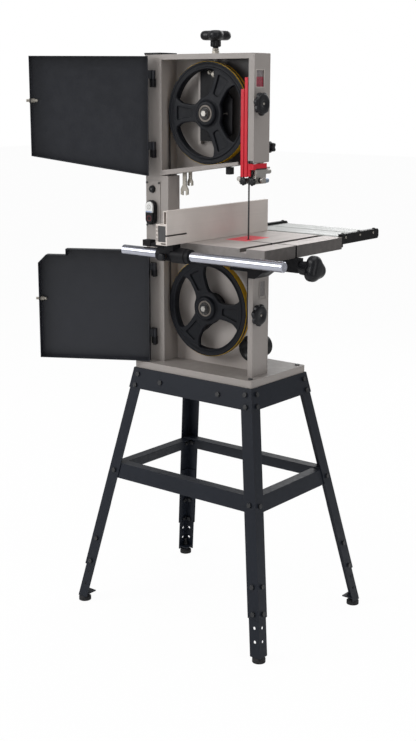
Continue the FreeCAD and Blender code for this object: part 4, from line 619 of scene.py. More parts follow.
class Piece:
    """Gathers closed shapes, in millimetres, into one mesh object with the given finishes.

    Shapes are drawn in u, v and w of the current facing; slot picks one of the finishes.
    """

    def __init__(self, *finishes):
        self.finishes = finishes
        self.points, self.faces, self.slots = [], [], []
        self.facing("z", (0, 0, 0))

    def facing(self, axis, origin=(0, 0, 0)):
        self.axes = np.array(FACINGS[axis], float)
        self.origin = np.array(origin, float)
        return self

    def add(self, points, faces, slot=0, at=(0.0, 0.0)):
        first = len(self.points)
        origin = self.origin + np.array([at[0], at[1], 0.0]) @ self.axes
        for p in np.asarray(points, float) @ self.axes + origin:
            self.points.append(tuple(p * MM))
        for face in faces:
            self.faces.append(tuple(first + i for i in face))
            self.slots.append(slot)

    def plate(self, outline, low, high, bevel, steps=3, slot=0, holes=()):
        """A flat piece from w = low to high with rounded edges."""
        loops = []
        for i, loop in enumerate([outline, *holes]):
            loop = np.array(loop, float)
            if (signed_area(loop) > 0) != (i == 0):
                loop = loop[::-1]
            loops.append(loop)
        bevel = min(bevel, (high - low) / 2.001)
        angles = np.linspace(0, math.pi / 2, steps + 1)
        # (inset, w) from the low face to the high face
        edge = [(bevel * (1 - math.sin(a)), low + bevel * (1 - math.cos(a))) for a in angles]
        edge += [(bevel * (1 - math.cos(a)), high - bevel * (1 - math.sin(a))) for a in angles]
        points, faces, rings = [], [], []
        for loop in loops:
            along = np.roll(loop, -1, 0) - np.roll(loop, 1, 0)
            along /= np.linalg.norm(along, axis=1)[:, None] + 1e-12
            inward = np.stack([-along[:, 1], along[:, 0]], 1)
            size = len(loop)
            start = len(points)
            for inset, w in edge:
                for u, v in loop + inward * inset:
                    points.append((u, v, w))
            for k in range(len(edge) - 1):
                a, b = start + k * size, start + (k + 1) * size
                for i in range(size):
                    j = (i + 1) % size
                    faces.append((a + i, a + j, b + j, b + i))
            rings.append((start, size))
        for row in (0, len(edge) - 1):
            faces += self.cap(points, rings, row)
        self.add(points, faces, slot)

    @staticmethod
    def cap(points, rings, row):
        """Triangles that close a plate on one row of its rings; row 0 is the low face."""
        polygons, index = [], []
        for start, size in rings:
            ids = [start + row * size + i for i in range(size)]
            polygons.append([Vector((points[i][0], points[i][1], 0)) for i in ids])
            index += ids
        faces = []
        for triangle in tessellate_polygon(polygons):
            a, b, c = (index[i] for i in triangle)
            pa, pb, pc = points[a], points[b], points[c]
            turn = (pb[0] - pa[0]) * (pc[1] - pa[1]) - (pb[1] - pa[1]) * (pc[0] - pa[0])
            if abs(turn) < 1e-9:
                continue
            if (turn > 0) != (row > 0):
                b, c = c, b
            faces.append((a, b, c))
        return faces

    def turn(self, profile, segments, fillet=0.0, steps=3, slot=0, closed=False, at=(0.0, 0.0)):
        """Turns a profile of (radius, w) about the w line through at, a (u, v) place."""
        if fillet:
            profile = fillets(profile, fillet, steps, closed)
        profile = np.array(profile, float)
        points, faces, rows = [], [], []
        for radius, w in profile:
            if radius < 1e-6:
                rows.append([len(points)])
                points.append((0, 0, w))
            else:
                rows.append(list(range(len(points), len(points) + segments)))
                points += [(*polar(radius, 2 * math.pi * i / segments), w)
                           for i in range(segments)]
        count = len(rows)
        pairs = [(i, i + 1) for i in range(count - 1)] + ([(count - 1, 0)] if closed else [])
        winding = 0.0
        for i in range(count):
            here, after = profile[i], profile[(i + 1) % count]
            winding += (after[0] + here[0]) * (after[1] - here[1])
        for i0, i1 in pairs:
            a, b = rows[i0], rows[i1]
            if len(a) == 1 and len(b) == 1:
                continue
            for i in range(segments):
                j = (i + 1) % segments
                if len(a) == 1:
                    face = (a[0], b[j], b[i])
                elif len(b) == 1:
                    face = (a[i], a[j], b[0])
                else:
                    face = (a[i], a[j], b[j], b[i])
                faces.append(face[::-1] if winding < 0 else face)
        self.add(points, faces, slot, at)

    def hex_head(self, across, low, high, slot=0, turn=0.0):
        outline = soften(hexagon(across, turn), across * 0.03)
        self.plate(outline, low, high, bevel=across * 0.06, steps=2, slot=slot)

    def finish(self, name, body, replaced=(), sharp_angle=35.0, weld=True):
        """Makes the object; it rides on a body and may replace CAD nodes."""
        mesh = bpy.data.meshes.new(name)
        mesh.from_pydata(self.points, [], self.faces)
        for key in self.finishes:
            mesh.materials.append(FINISH[key])
        mesh.polygons.foreach_set("material_index", self.slots)
        bm = bmesh.new()
        bm.from_mesh(mesh)
        if weld:
            bmesh.ops.remove_doubles(bm, verts=bm.verts, dist=1e-6)
        bmesh.ops.dissolve_degenerate(bm, dist=1e-7, edges=bm.edges)
        loose = [v for v in bm.verts if not v.link_faces]
        bmesh.ops.delete(bm, geom=loose, context="VERTS")
        for edge in bm.edges:
            bend = edge.calc_face_angle(0.0) if len(edge.link_faces) == 2 else 0.0
            if bend > math.radians(sharp_angle):
                edge.smooth = False
        for face in bm.faces:
            face.smooth = True
        bm.to_mesh(mesh)
        bm.free()
        obj = bpy.data.objects.new(name, mesh)
        bpy.context.scene.collection.objects.link(obj)
        obj.modifiers.new("even_shading", "WEIGHTED_NORMAL").keep_sharp = True
        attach(obj, body)
        if replaced:
            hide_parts(*replaced)


# ------------------------------------------------------------------ band wheels
def middle_z(node):
    lo, hi = box_mm(node)
    return (lo[2] + hi[2]) / 2


UPPER_WHEEL_Z = middle_z("upper_tyre")
LOWER_WHEEL_Z = middle_z("lower_tyre")
UPPER_SPOKES = (180.0, 60.0, -60.0)  # degrees
LOWER_SPOKES = (115.0, -5.0, -125.0)
UPPER_HUB_BACK = -11.0  # w of the hub's rear end
LOWER_HUB_BACK = -25.5
WEB_RADIUS = 111.5
WEB_BORE = 28.0
HUB_BORE = 21.2
OPENING_INNER, OPENING_OUTER = 43.0, 108.5  # radii of the openings between spokes

# radius from the axle, distance from the spoke's middle line to the opening
SPOKE_HALF_WIDTHS = np.array(((40, 23.0), (58, 21.0), (88, 25.0), (108, 37.0)))
# radius from the axle, half width of the long hollow in the front of a spoke
WELL_HALF_WIDTHS = ((50, 9.0), (64, 10.5), (82, 13.5), (99, 18.0))

# (radius, w), w towards the front
RIM = [(109.0, -10), (126.0, -10), (126.0, 6.8), (126.3, 7.0), (126.3, 10.0), (121.8, 10.0),
       (120.6, 8.2), (114.0, 8.0), (112.6, 10.0), (109.2, 10.0), (108.6, 8.0), (108.6, -8.0)]
HUB_FRONT = [(HUB_BORE, 19.0), (27.6, 19.0), (30.2, 16.5), (31.5, 11.0), (36.0, 8.9),
             (36.0, 2.0), (31.0, -4.0), (31.0, -9.5)]
UPPER_HUB = HUB_FRONT + [(31.0, UPPER_HUB_BACK), (HUB_BORE, UPPER_HUB_BACK)]
# the lower hub goes on into a grooved belt pulley
LOWER_HUB = HUB_FRONT + [(36.0, -10.0), (36.0, -14.0), (29.6, -14.6), (29.6, -22.4),
                         (36.0, -23.0), (36.0, LOWER_HUB_BACK), (HUB_BORE, LOWER_HUB_BACK)]


def spoke_openings(angles):
    """The openings between the spokes, as outlines with soft corners."""
    outlines = []
    ordered = sorted(a % 360 for a in angles)
    for i, first in enumerate(ordered):
        second = ordered[(i + 1) % len(ordered)]
        if second <= first:
            second += 360
        side_a, side_b = [], []  # (radius, degrees)
        for r in np.linspace(OPENING_INNER, OPENING_OUTER, 24):
            half = np.interp(r, SPOKE_HALF_WIDTHS[:, 0], SPOKE_HALF_WIDTHS[:, 1])
            spread = math.degrees(math.asin(min(0.99, half / r)))
            side_a.append((r, first + spread))
            side_b.append((r, second - spread))
        outer = np.linspace(side_a[-1][1], side_b[-1][1], 40)[1:-1]
        stations = side_a + [(OPENING_OUTER, t) for t in outer] + side_b[::-1]
        if side_a[0][1] < side_b[0][1]:
            inner = np.linspace(side_b[0][1], side_a[0][1], 16)[1:-1]
            stations += [(OPENING_INNER, t) for t in inner]
        outline = [polar(r, math.radians(t)) for r, t in stations]
        outlines.append(soften(outline, sigma=4.2, step=1.6))
    return outlines


def spoke_wells(angles):
    """The long hollow in the front of each spoke, broad at the rim and narrow at the hub."""
    outlines = []
    for degrees in angles:
        a = math.radians(degrees)
        along = np.array((math.cos(a), math.sin(a)))
        across = np.array((-math.sin(a), math.cos(a)))
        outline = [along * r + across * half for r, half in WELL_HALF_WIDTHS]
        outline += [along * r - across * half for r, half in WELL_HALF_WIDTHS[::-1]]
        outlines.append(soften(outline, sigma=3.4, step=1.4))
    return outlines


def band_wheel(name, z, angles, hub, node):
    """Web in two layers, lipped rim and bored hub."""
    piece = Piece("wheel").facing("-y", (0, 0, z))
    web = circle(WEB_RADIUS, 160)
    holes = [circle(WEB_BORE, 72)] + spoke_openings(angles)
    piece.plate(web, -3.0, 4.8, bevel=1.6, holes=holes)
    piece.plate(web, 4.5, 9.0, bevel=1.9, steps=4, holes=holes + spoke_wells(angles))
    piece.turn(RIM, 160, fillet=0.8, steps=2, closed=True)
    piece.turn(hub, 96, fillet=1.4, closed=True)
    piece.finish(name, node, [node])


band_wheel("upper_wheel_casting", UPPER_WHEEL_Z, UPPER_SPOKES, UPPER_HUB, "upper_wheel")
band_wheel("lower_wheel_casting", LOWER_WHEEL_Z, LOWER_SPOKES, LOWER_HUB, "lower_wheel")


def bearing_pair(name, z, spans, body, node):
    """Two sealed ball bearings: outer race, sunken black seal, inner race, small rivets."""
    piece = Piece("race", "seal").facing("-y", (0, 0, z))
    for low, high in spans:
        outer = [(16.6, low), (20.9, low), (20.9, high), (16.6, high)]
        piece.turn(outer, 72, fillet=0.9, closed=True)
        inner = [(10.15, low), (13.0, low), (13.0, high), (10.15, high)]
        piece.turn(inner, 72, fillet=0.6, steps=2, closed=True)
        seal = [(12.9, low + 0.8), (16.7, low + 0.8), (16.7, high - 0.8), (15.0, high - 1.2),
                (12.9, high - 0.8)]
        piece.turn(seal, 72, fillet=0.3, steps=2, slot=1, closed=True)
        rivet = [(0, high - 0.5), (0.55, high - 0.7), (0.7, high - 1.4)]
        for i in range(10):
            piece.turn(rivet, 10, at=polar(14.9, math.radians(36 * i)))
    piece.finish(name, body, [node])


FRONT_BEARING = (6.0, 18.5)
bearing_pair("upper_bearing_races", UPPER_WHEEL_Z, (FRONT_BEARING, (UPPER_HUB_BACK, 0.0)),
             "upper_wheel", "upper_bearings")
bearing_pair("lower_bearing_races", LOWER_WHEEL_Z, (FRONT_BEARING, (LOWER_HUB_BACK, -13.0)),
             "lower_wheel", "lower_bearings")

# ------------------------------------------------------------------ saw blade with teeth
TOOTH_PITCH = 4.2
TOOTH_DEPTHS = (1.1, 0.0, 0.35, 0.75)  # front edge, set back at four stations per tooth
TOOTH_SET = 0.25  # sideways bend of the tip, to alternate sides
BLADE_HALF = 0.32  # half the band's thickness
BLADE_INSET = 0.35  # from the outside of the CAD band to the middle of the new one
GULLET_Y = 1.5  # from the tips to the plain part of the band


def blade_station(s, radius, straight):
    """Place (x, z) and outward direction at a distance s along the band."""
    half_turn = math.pi * radius
    if s < straight:
        return radius, LOWER_WHEEL_Z + s, 1, 0
    if straight + half_turn <= s < 2 * straight + half_turn:
        return -radius, UPPER_WHEEL_Z - (s - straight - half_turn), -1, 0
    if s < straight + half_turn:
        a, z = (s - straight) / radius, UPPER_WHEEL_Z
    else:
        a, z = math.pi + (s - 2 * straight - half_turn) / radius, LOWER_WHEEL_Z
    return radius * math.cos(a), z + radius * math.sin(a), math.cos(a), math.sin(a)


def saw_blade():
    """The closed toothed band round both wheels."""
    lo, hi = box_mm("blade")
    radius = hi[0] - BLADE_INSET
    front, back = lo[1], hi[1]
    straight = UPPER_WHEEL_Z - LOWER_WHEEL_Z
    total = 2 * straight + 2 * math.pi * radius
    count = int(round(total / TOOTH_PITCH)) * 4
    points, faces = [], []
    for i in range(count):
        x, z, out_x, out_z = blade_station(total * i / count, radius, straight)
        tip = front + TOOTH_DEPTHS[i % 4]
        bend = TOOTH_SET * (-1) ** (i // 4) if i % 4 == 1 else 0.0
        section = ((-BLADE_HALF, tip), (BLADE_HALF, tip), (BLADE_HALF, front + GULLET_Y),
                   (BLADE_HALF, back), (-BLADE_HALF, back), (-BLADE_HALF, front + GULLET_Y))
        for side, y in section:
            offset = side + (bend if y < front + 1.4 else 0)
            points.append((x + out_x * offset, y, z + out_z * offset))
    size = 6
    for i in range(count):
        j = (i + 1) % count
        for k in range(size):
            after = (k + 1) % size
            faces.append((i * size + k, i * size + after, j * size + after, j * size + k))
    piece = Piece("blade")
    piece.add(points, faces)
    piece.finish("toothed_blade", "frame", ["blade"], sharp_angle=25.0, weld=False)


saw_blade()

# ------------------------------------------------------------------ hand knobs
# Lines the knobs turn about, as the origin of each knob's facing.
TENSION_LINE = (0, 24.0, 0)
DOOR_KNOB_Y = -26.0
UPPER_DOOR_KNOB_Z, LOWER_DOOR_KNOB_Z = 1365.0, 850.0
TILT_LINE = (0, -24.0, 980.0)
FENCE_LOCK_LINE = (25.0, 0, 1003.0)
GUIDE_LOCK_LINE = (150.0, 0, 1259.0)
TRACKING_LINE = (-14.0, 0, 1389.5)
GUIDE_KNOB_XS, GUIDE_KNOB_Z = (127.5, 154.5), 1178.6
THRUST_LINE = (0, -2.0, 1181.0)


def tension_hand_knob():
    """Three broad flattened fingers over a ribbed neck, a hexagon nut and a long screw."""
    piece = Piece("knob", "zinc", "steel").facing("z", TENSION_LINE)
    grip = soften(lobes(radius=42.0, count=3, depth=19.5, power=0.72, turn=-51.7), 2.6)
    piece.plate(grip, 1517.5, 1540.4, bevel=10.9, steps=8)
    crown = [(0, 1541.0), (11, 1540.9), (17.5, 1539.5), (17.5, 1530)]
    piece.turn(crown, 48, fillet=2.0)
    neck = [(13.5, 1519.0), (13.5, 1516.0), (11.5, 1514.5), (11.5, 1502.5), (10.4, 1501.0),
            (7.0, 1500.6), (7.0, 1498.0), (0, 1498.0)]
    piece.turn(neck, 48, fillet=0.8)
    rib = [(0, 1515.0), (1.9, 1514.8), (1.9, 1502.6), (0, 1502.0)]
    for i in range(8):
        piece.turn(rib, 12, fillet=0.6, steps=2, at=polar(11.4, math.radians(45 * i)))
    piece.hex_head(17.0, 1484.35, 1492.4, slot=1)
    collar = [(0, 1498.2), (7.6, 1498.2), (8.1, 1497.4), (8.1, 1493.0), (0, 1492.2)]
    piece.turn(collar, 32, fillet=0.5, steps=2, slot=1)
    screw = [(0, 1484.6), (5.0, 1484.6), (5.0, 1313.0), (3.9, 1312.0), (0, 1312.0)]
    piece.turn(screw, 24, fillet=0.5, steps=2, slot=2)
    piece.finish("tension_hand_knob", "tension_knob", ["tension_knob"])


def panel_knob(name, face_x, z, node):
    """Door lock knob: blunt fingers behind a dished round cap with a bright screw end."""
    piece = Piece("knob", "zinc").facing("x", (0, DOOR_KNOB_Y, z))
    grip = soften(lobes(radius=28.5, count=7, depth=5.2, power=0.55, turn=12), 1.0)
    piece.plate(grip, 174.45, 185.4, bevel=3.2, steps=5)
    cap = [(0, 186.2), (3.2, 186.2), (7.0, 186.4), (10.0, 187.6), (17.5, 188.3), (22.6, 187.6),
           (24.4, 185.6), (24.4, 183.0)]
    piece.turn(cap, 72, fillet=1.2)
    screw_end = [(0, 187.3), (2.4, 187.3), (3.0, 186.7), (3.0, 185.6)]
    piece.turn(screw_end, 24, fillet=0.4, steps=2, slot=1)
    neck = [(12.5, 174.8), (12.5, 172.6), (9.0, 171.4), (4.3, 171.4)]
    piece.turn(neck, 40, fillet=0.8, steps=2)
    stud = [(0, face_x - 1.7), (2.9, face_x - 1.7), (2.9, face_x + 0.15), (4.15, face_x + 0.2),
            (4.15, 174.0)]
    piece.turn(stud, 24, fillet=0.2, steps=2, slot=1)
    piece.finish(name, node, [node])


def tilt_hand_knob():
    """Three thick fingers on a tapering neck."""
    piece = Piece("knob").facing("x", TILT_LINE)
    grip = soften(lobes(radius=34.5, count=3, depth=9.5, power=0.8, turn=222), 4.0)
    piece.plate(grip, 324.0, 357.6, bevel=14.0, steps=9)
    crown = [(17.0, 346.0), (15.0, 356.2), (9.0, 358.0), (0, 358.0)]
    piece.turn(crown, 48, fillet=3.0, steps=4)
    neck = [(0, 300.9), (14.6, 301.2), (16.2, 303.0), (17.8, 322.0), (19.0, 332.0)]
    piece.turn(neck, 48, fillet=1.5)
    shank = [(0, 237.0), (7.6, 237.0), (7.9, 238.0), (7.9, 302.0)]
    piece.turn(shank, 32, fillet=0.3, steps=2)
    piece.finish("tilt_hand_knob", "tilt_lock_knob", ["tilt_lock_knob"])


def fence_hand_knob():
    """Small knurled knob with a brass collar and a steel stud."""
    piece = Piece("knob", "brass", "steel").facing("-y", FENCE_LOCK_LINE)
    piece.plate(soften(lobes(radius=9.0, count=12, depth=1.0), 0.4), 211.2, 221.0, bevel=1.4)
    crown = [(7.4, 220.4), (7.4, 222.0), (5.0, 222.5), (0, 222.5)]
    piece.turn(crown, 40, fillet=0.5)
    collar = [(4.0, 207.8), (6.2, 208.0), (6.2, 211.3), (4.0, 211.5)]
    piece.turn(collar, 40, fillet=0.3, steps=2, slot=1)
    stud = [(0, 199.2), (3.6, 199.2), (3.95, 199.8), (3.95, 208.0)]
    piece.turn(stud, 24, fillet=0.2, steps=2, slot=2)
    piece.finish("fence_hand_knob", "fence_lock_knob", ["fence_lock_knob"])


def guide_height_hand_knob():
    """Five-fingered knob behind the guide post."""
    piece = Piece("knob", "zinc").facing("y", GUIDE_LOCK_LINE)
    grip = soften(lobes(radius=15.0, count=5, depth=4.2, power=0.8), 1.0)
    piece.plate(grip, 48.0, 61.4, bevel=3.4, steps=5)
    piece.turn([(0, 62.0), (5.0, 62.0), (8.0, 61.0), (8.0, 58)], 32, fillet=0.8)
    neck = [(9.0, 50.0), (7.0, 47.5), (7.0, 35.2), (4.0, 35.0)]
    piece.turn(neck, 32, fillet=0.6, steps=2)
    stud = [(4.0, 35.2), (4.0, 17.9), (3.4, 17.4), (0, 17.4)]
    piece.turn(stud, 24, fillet=0.3, steps=2, slot=1)
    piece.finish("guide_height_hand_knob", "guide_lock_knob", ["guide_lock_knob"])


def tracking_hand_knob():
    """Six-fingered knob behind the upper wheel box."""
    piece = Piece("knob", "zinc").facing("y", TRACKING_LINE)
    grip = soften(lobes(radius=19.0, count=6, depth=4.6, power=0.7), 1.2)
    piece.plate(grip, 46.0, 59.4, bevel=3.6, steps=5)
    piece.turn([(0, 60.0), (7.0, 60.0), (11.0, 58.9), (11.0, 56)], 40, fillet=0.8)
    neck = [(11.0, 47.0), (8.0, 45.0), (8.0, 38.2), (4.0, 38.0)]
    piece.turn(neck, 32, fillet=0.8, steps=2)
    stud = [(4.0, 38.2), (4.0, 18.7), (3.4, 18.2), (0, 18.2)]
    piece.turn(stud, 24, fillet=0.3, steps=2, slot=1)
    piece.finish("tracking_hand_knob", "tracking_knob", ["tracking_knob"])


def guide_adjusters():
    """The two side guide knobs and the thrust bearing's bolt."""
    piece = Piece("knob", "steel", "blue_zinc")
    for x in GUIDE_KNOB_XS:
        piece.facing("-y", (x, 0, GUIDE_KNOB_Z))
        grip = soften(lobes(radius=10.4, count=8, depth=2.1, power=0.9), 0.45)
        piece.plate(grip, 23.0, 30.6, bevel=1.6)
        crown = [(0, 30.9), (4.6, 30.9), (6.2, 30.5), (6.2, 29.0)]
        piece.turn(crown, 32, fillet=0.4, steps=2)
        piece.turn([(4.6, 23.5), (4.6, 21.0), (3.0, 20.8)], 24, fillet=0.3, steps=2)
        stud = [(0, 16.1), (2.9, 16.1), (2.9, 22.0), (0, 22.0)]
        piece.turn(stud, 20, fillet=0.3, steps=2, slot=1)
    piece.facing("x", THRUST_LINE)
    head = [(0, 165.15), (7.4, 165.15), (7.4, 171.5), (0, 171.5)]
    piece.turn(head, 40, fillet=0.9, slot=1)
    piece.plate(soften(hexagon(6.0), 0.3), 171.0, 171.6, bevel=0.2, steps=1, slot=1)
    collar = [(0, 158.3), (6.4, 158.3), (6.8, 159.0), (6.8, 165.2), (0, 165.2)]
    piece.turn(collar, 40, fillet=0.4, steps=2)
    piece.finish("guide_adjusters", "guide_post", ["guide_knobs"])


BOX_SIDE_X = box_mm("upper_wheel_box")[1][0]
POST_SIDE_X = box_mm("right_post")[1][0]

tension_hand_knob()
panel_knob("upper_door_hand_knob", BOX_SIDE_X, UPPER_DOOR_KNOB_Z, "upper_lock_knob")
panel_knob("lower_door_hand_knob", POST_SIDE_X, LOWER_DOOR_KNOB_Z, "lower_lock_knob")
tilt_hand_knob()
fence_hand_knob()
guide_height_hand_knob()
tracking_hand_knob()
guide_adjusters()

# ------------------------------------------------------------------ switch face
SWITCH_X = -163.5
SWITCH_LOW_Z, SWITCH_HIGH_Z = 1067.5, 1100.5  # centres of the switch's round ends
BUTTON_RADIUS = 12.3
START_FLAT_Z, STOP_FLAT_Z = 1084.7, 1083.5  # where the two half buttons face each other
START_SYMBOL_Z, STOP_SYMBOL_Z = 1099.0, 1069.5
LAMP_BUTTON_PLACE = (-163.7, 0, 1144.6)


def stadium(radius):
    return np.array(arc(radius, 0, math.pi, 16, v=SWITCH_HIGH_Z)
                    + arc(radius, math.pi, 2 * math.pi, 16, v=SWITCH_LOW_Z))


def half_button(flat_z, arc_z, start, side):
    """Button outline with a flat at flat_z and an arc from start; side 1 is up, -1 down."""
    flat = [(-side * BUTTON_RADIUS, flat_z), (side * BUTTON_RADIUS, flat_z)]
    return soften(flat + arc(BUTTON_RADIUS, start, start + math.pi, 24, v=arc_z), 0.5, 0.5)


def start_push_button():
    piece = Piece("white_plastic", "ink_grey", "painted_shade_blue").facing("-y", (SWITCH_X, 0, 0))
    piece.plate(half_button(START_FLAT_Z, SWITCH_HIGH_Z, 0, side=1), 39.0, 47.9,
                bevel=1.5, steps=4)
    # ring and stroke of the symbol
    piece.facing("-y", (SWITCH_X, 0, START_SYMBOL_Z))
    ring = [(4.6, 47.8), (4.6, 48.0), (6.2, 48.0), (6.2, 47.8)]
    piece.turn(ring, 40, fillet=0.05, steps=1, slot=1)
    piece.plate(rounded(-0.7, 0.7, -3.0, 3.0, 0.5), 47.6, 48.0, bevel=0.1, steps=1, slot=1)
    # pale bluish bar along the lower edge, painted shade of the white button
    piece.facing("-y", (SWITCH_X, 0, 0))
    bar = rounded(-10.6, 10.6, 1085.4, 1088.6, 0.8)
    piece.plate(bar, 47.5, 48.0, bevel=0.2, steps=1, slot=2)
    piece.finish("start_push_button", "start_button", ["start_button"])


def stop_push_button():
    piece = Piece("plastic", "dull_red").facing("-y", (SWITCH_X, 0, 0))
    piece.plate(half_button(STOP_FLAT_Z, SWITCH_LOW_Z, math.pi, side=-1), 39.0, 46.8,
                bevel=1.5, steps=4)
    piece.facing("-y", (SWITCH_X, 0, STOP_SYMBOL_Z))
    ring = [(6.3, 46.6), (6.3, 47.0), (7.3, 47.0), (7.3, 46.6)]
    piece.turn(ring, 40, fillet=0.08, steps=1, slot=1)
    piece.finish("stop_push_button", "stop_button", ["stop_button"])


def lamp_push_button():
    piece = Piece("plastic", "ink_grey").facing("-y", LAMP_BUTTON_PLACE)
    profile = [(0, 37.3), (5.6, 37.6), (7.2, 38.0), (7.9, 37.2), (9.3, 36.0), (9.3, 22.0),
               (0, 22.0)]
    piece.turn(profile, 56, fillet=0.6)
    piece.plate(rounded(-0.6, 0.6, -2.6, 2.6, 0.4), 37.2, 37.8, bevel=0.1, steps=1, slot=1)
    piece.finish("lamp_push_button", "light_button", ["light_button"])


def switch_shell():
    """Rounded collar round the buttons, its floor, and the body behind them."""
    piece = Piece("plastic").facing("-y", (SWITCH_X, 0, 0))
    piece.plate(stadium(15.5), 31.6, 44.0, bevel=1.3, steps=4, holes=[stadium(12.6)])
    piece.plate(stadium(14.5), 31.5, 35.0, bevel=0.5, steps=2)
    piece.plate(rounded(-12.0, 12.0, 1058.0, 1110.0, 2.0), 20.0, 31.6, bevel=0.5, steps=2)
    piece.finish("switch_shell", "frame", ["switch_housing"])


start_push_button()
stop_push_button()
lamp_push_button()
switch_shell()

# ------------------------------------------------------------------ motor with cooling fins
MOTOR_MAX_RADIUS = 57.0
FIN_HEIGHT = 8.0
FIN_COUNT = 36
SHAFT_HOLE = 19.2
TERMINAL_BOX_Y = 105.0
FAN_SLOT_RINGS = ((14.0, 6), (23.0, 10), (32.0, 14))  # ring radius, number of slots
FAN_SLOT_HALF = 2.4


def fan_slots():
    """Curved slots in rings on the fan cover's end face."""
    slots = []
    for radius, count in FAN_SLOT_RINGS:
        for i in range(count):
            start = 2 * math.pi * (i + 0.14) / count
            end = 2 * math.pi * (i + 0.86) / count
            outline = arc(radius + FAN_SLOT_HALF, start, end, 8)
            outline += arc(radius - FAN_SLOT_HALF, end, start, 8)
            slots.append(soften(outline, 0.6, 0.8))
    return slots


def motor_assembly():
    pulley_lo, pulley_hi = box_mm("motor_pulley")
    x = (pulley_lo[0] + pulley_hi[0]) / 2
    z = (pulley_lo[2] + pulley_hi[2]) / 2
    radius = min(z - box_mm("motor")[0][2], MOTOR_MAX_RADIUS)
    core = radius - FIN_HEIGHT
    piece = Piece("motor", "plastic", "seal", "zinc").facing("y", (x, 0, z))
    barrel = [(SHAFT_HOLE, 42.0), (radius - 1.0, 42.0), (radius - 1.0, 54.0), (core, 57.0),
              (core, 156.0), (radius - 1.0, 158.0), (radius - 1.0, 160.0), (0, 160.0)]
    piece.turn(barrel, 96, fillet=1.4)
    # tapering fins, left out under the terminal box
    fin = [(core - 2, -1.3), (radius - 0.6, -0.9), (radius - 0.6, 0.9), (core - 2, 1.3)]
    for i in range(FIN_COUNT):
        a = 2 * math.pi * i / FIN_COUNT
        if 60 < math.degrees(a) < 120:
            continue
        cos_a, sin_a = math.cos(a), math.sin(a)
        turned = [(u * cos_a - v * sin_a, u * sin_a + v * cos_a) for u, v in fin]
        piece.plate(turned, 54.0, 158.0, bevel=0.4, steps=1)
    # fan cover, its slotted end face and the dark disc behind the slots
    cover = [(radius - 0.2, 158.5), (radius, 160.5), (radius, 192.0), (radius - 3.5, 202.0),
             (radius - 12, 205.6), (40.0, 206.0), (40.0, 203.6), (radius - 6.0, 200.0),
             (radius - 2.2, 190.0), (radius - 2.2, 160.0)]
    piece.turn(cover, 96, fillet=1.5, slot=1, closed=True)
    piece.plate(circle(41.0, 72), 203.4, 206.0, bevel=0.5, steps=2, slot=1, holes=fan_slots())
    piece.turn([(0, 199.0), (37.0, 199.0), (37.0, 201.0), (0, 201.0)], 48, slot=2)
    # long bolts and the front flange
    bolt = [(0, 46.0), (2.4, 46.0), (2.4, 160.0), (0, 160.0)]
    for degrees in (45, 135, 225, 315):
        place = polar(radius - 4, math.radians(degrees))
        piece.turn(bolt, 12, fillet=0.3, steps=1, slot=3, at=place)
    piece.plate(rounded(-52.0, 60.0, -58.0, 58.0, 9.0, 6), 36.2, 42.2, bevel=0.8,
                holes=[circle(SHAFT_HOLE, 48)])
    # terminal box with its lid and four lid screws
    lid_top = z + 82.0
    piece.facing("z", (x, TERMINAL_BOX_Y, 0))
    piece.plate(rounded(-28.0, 28.0, -35.0, 35.0, 4.0), z + core - 4, z + 76.0, bevel=1.2)
    piece.plate(rounded(-29.0, 29.0, -36.0, 36.0, 4.5), z + 77.0, lid_top, bevel=1.4, slot=1)
    screw = [(2.3, lid_top - 1.0), (2.0, lid_top - 0.1), (0, lid_top)]
    for place in ((-24, -31), (24, -31), (24, 31), (-24, 31)):
        piece.turn(screw, 16, fillet=0.3, steps=1, slot=3, at=place)
    piece.finish("motor_assembly", "frame", ["motor"])


motor_assembly()

# ------------------------------------------------------------------ small parts
SIDE_SCREW_YS, SIDE_SCREW_Z = (203.0, 272.0, 338.0), 1031.0
TOP_SCREW_YS, TOP_SCREW_INSET = (196.0, 274.0, 350.0), 6.0
# x, z and half the width across flats
CARRIAGE_BOLTS = ((-1.0, 1435.0, 4.6), (-15.0, 1440.0, 2.8))


def ground_guide_rail():
    """Ground steel guide rail with turned ends."""
    lo, hi = box_mm("fence_rail")
    start, end = lo[0], hi[0]
    radius = (hi[2] - lo[2]) / 2
    chamfer = 1.6
    spans = 24  # rings along the bar
    piece = Piece("rail").facing("x", (0, (lo[1] + hi[1]) / 2, (lo[2] + hi[2]) / 2))
    profile = [(0, start + 0.6), (3.0, start + 0.6), (3.6, start), (radius - chamfer, start),
               (radius, start + chamfer)]
    profile += [(radius, start + chamfer + (end - start - 2 * chamfer) * k / spans)
                for k in range(1, spans)]
    profile += [(radius, end - chamfer), (radius - chamfer, end), (3.6, end), (3.0, end - 0.6),
                (0, end - 0.6)]
    piece.turn(profile, 144)
    piece.finish("ground_guide_rail", "table", ["fence_rail"])


def tracking_window_frame():
    """Body-coloured surround and pale inner frame on the upper wheel box's +X side."""
    back = BOX_SIDE_X - 0.9
    piece = Piece("frame_pale", "body").facing("x")
    piece.plate(rounded(-28.6, 13.6, 1396.0, 1449.0, 3.0), back, BOX_SIDE_X + 0.35, bevel=0.25,
                steps=2, slot=1, holes=[rounded(-24.4, 9.4, 1403.5, 1444.8, 1.4)])
    piece.plate(rounded(-25.0, 10.0, 1402.9, 1445.4, 1.8), back, BOX_SIDE_X + 0.8, bevel=0.4,
                holes=[rounded(-23.2, 8.2, 1404.7, 1443.8, 1.0)])
    piece.finish("tracking_window_frame", "frame")


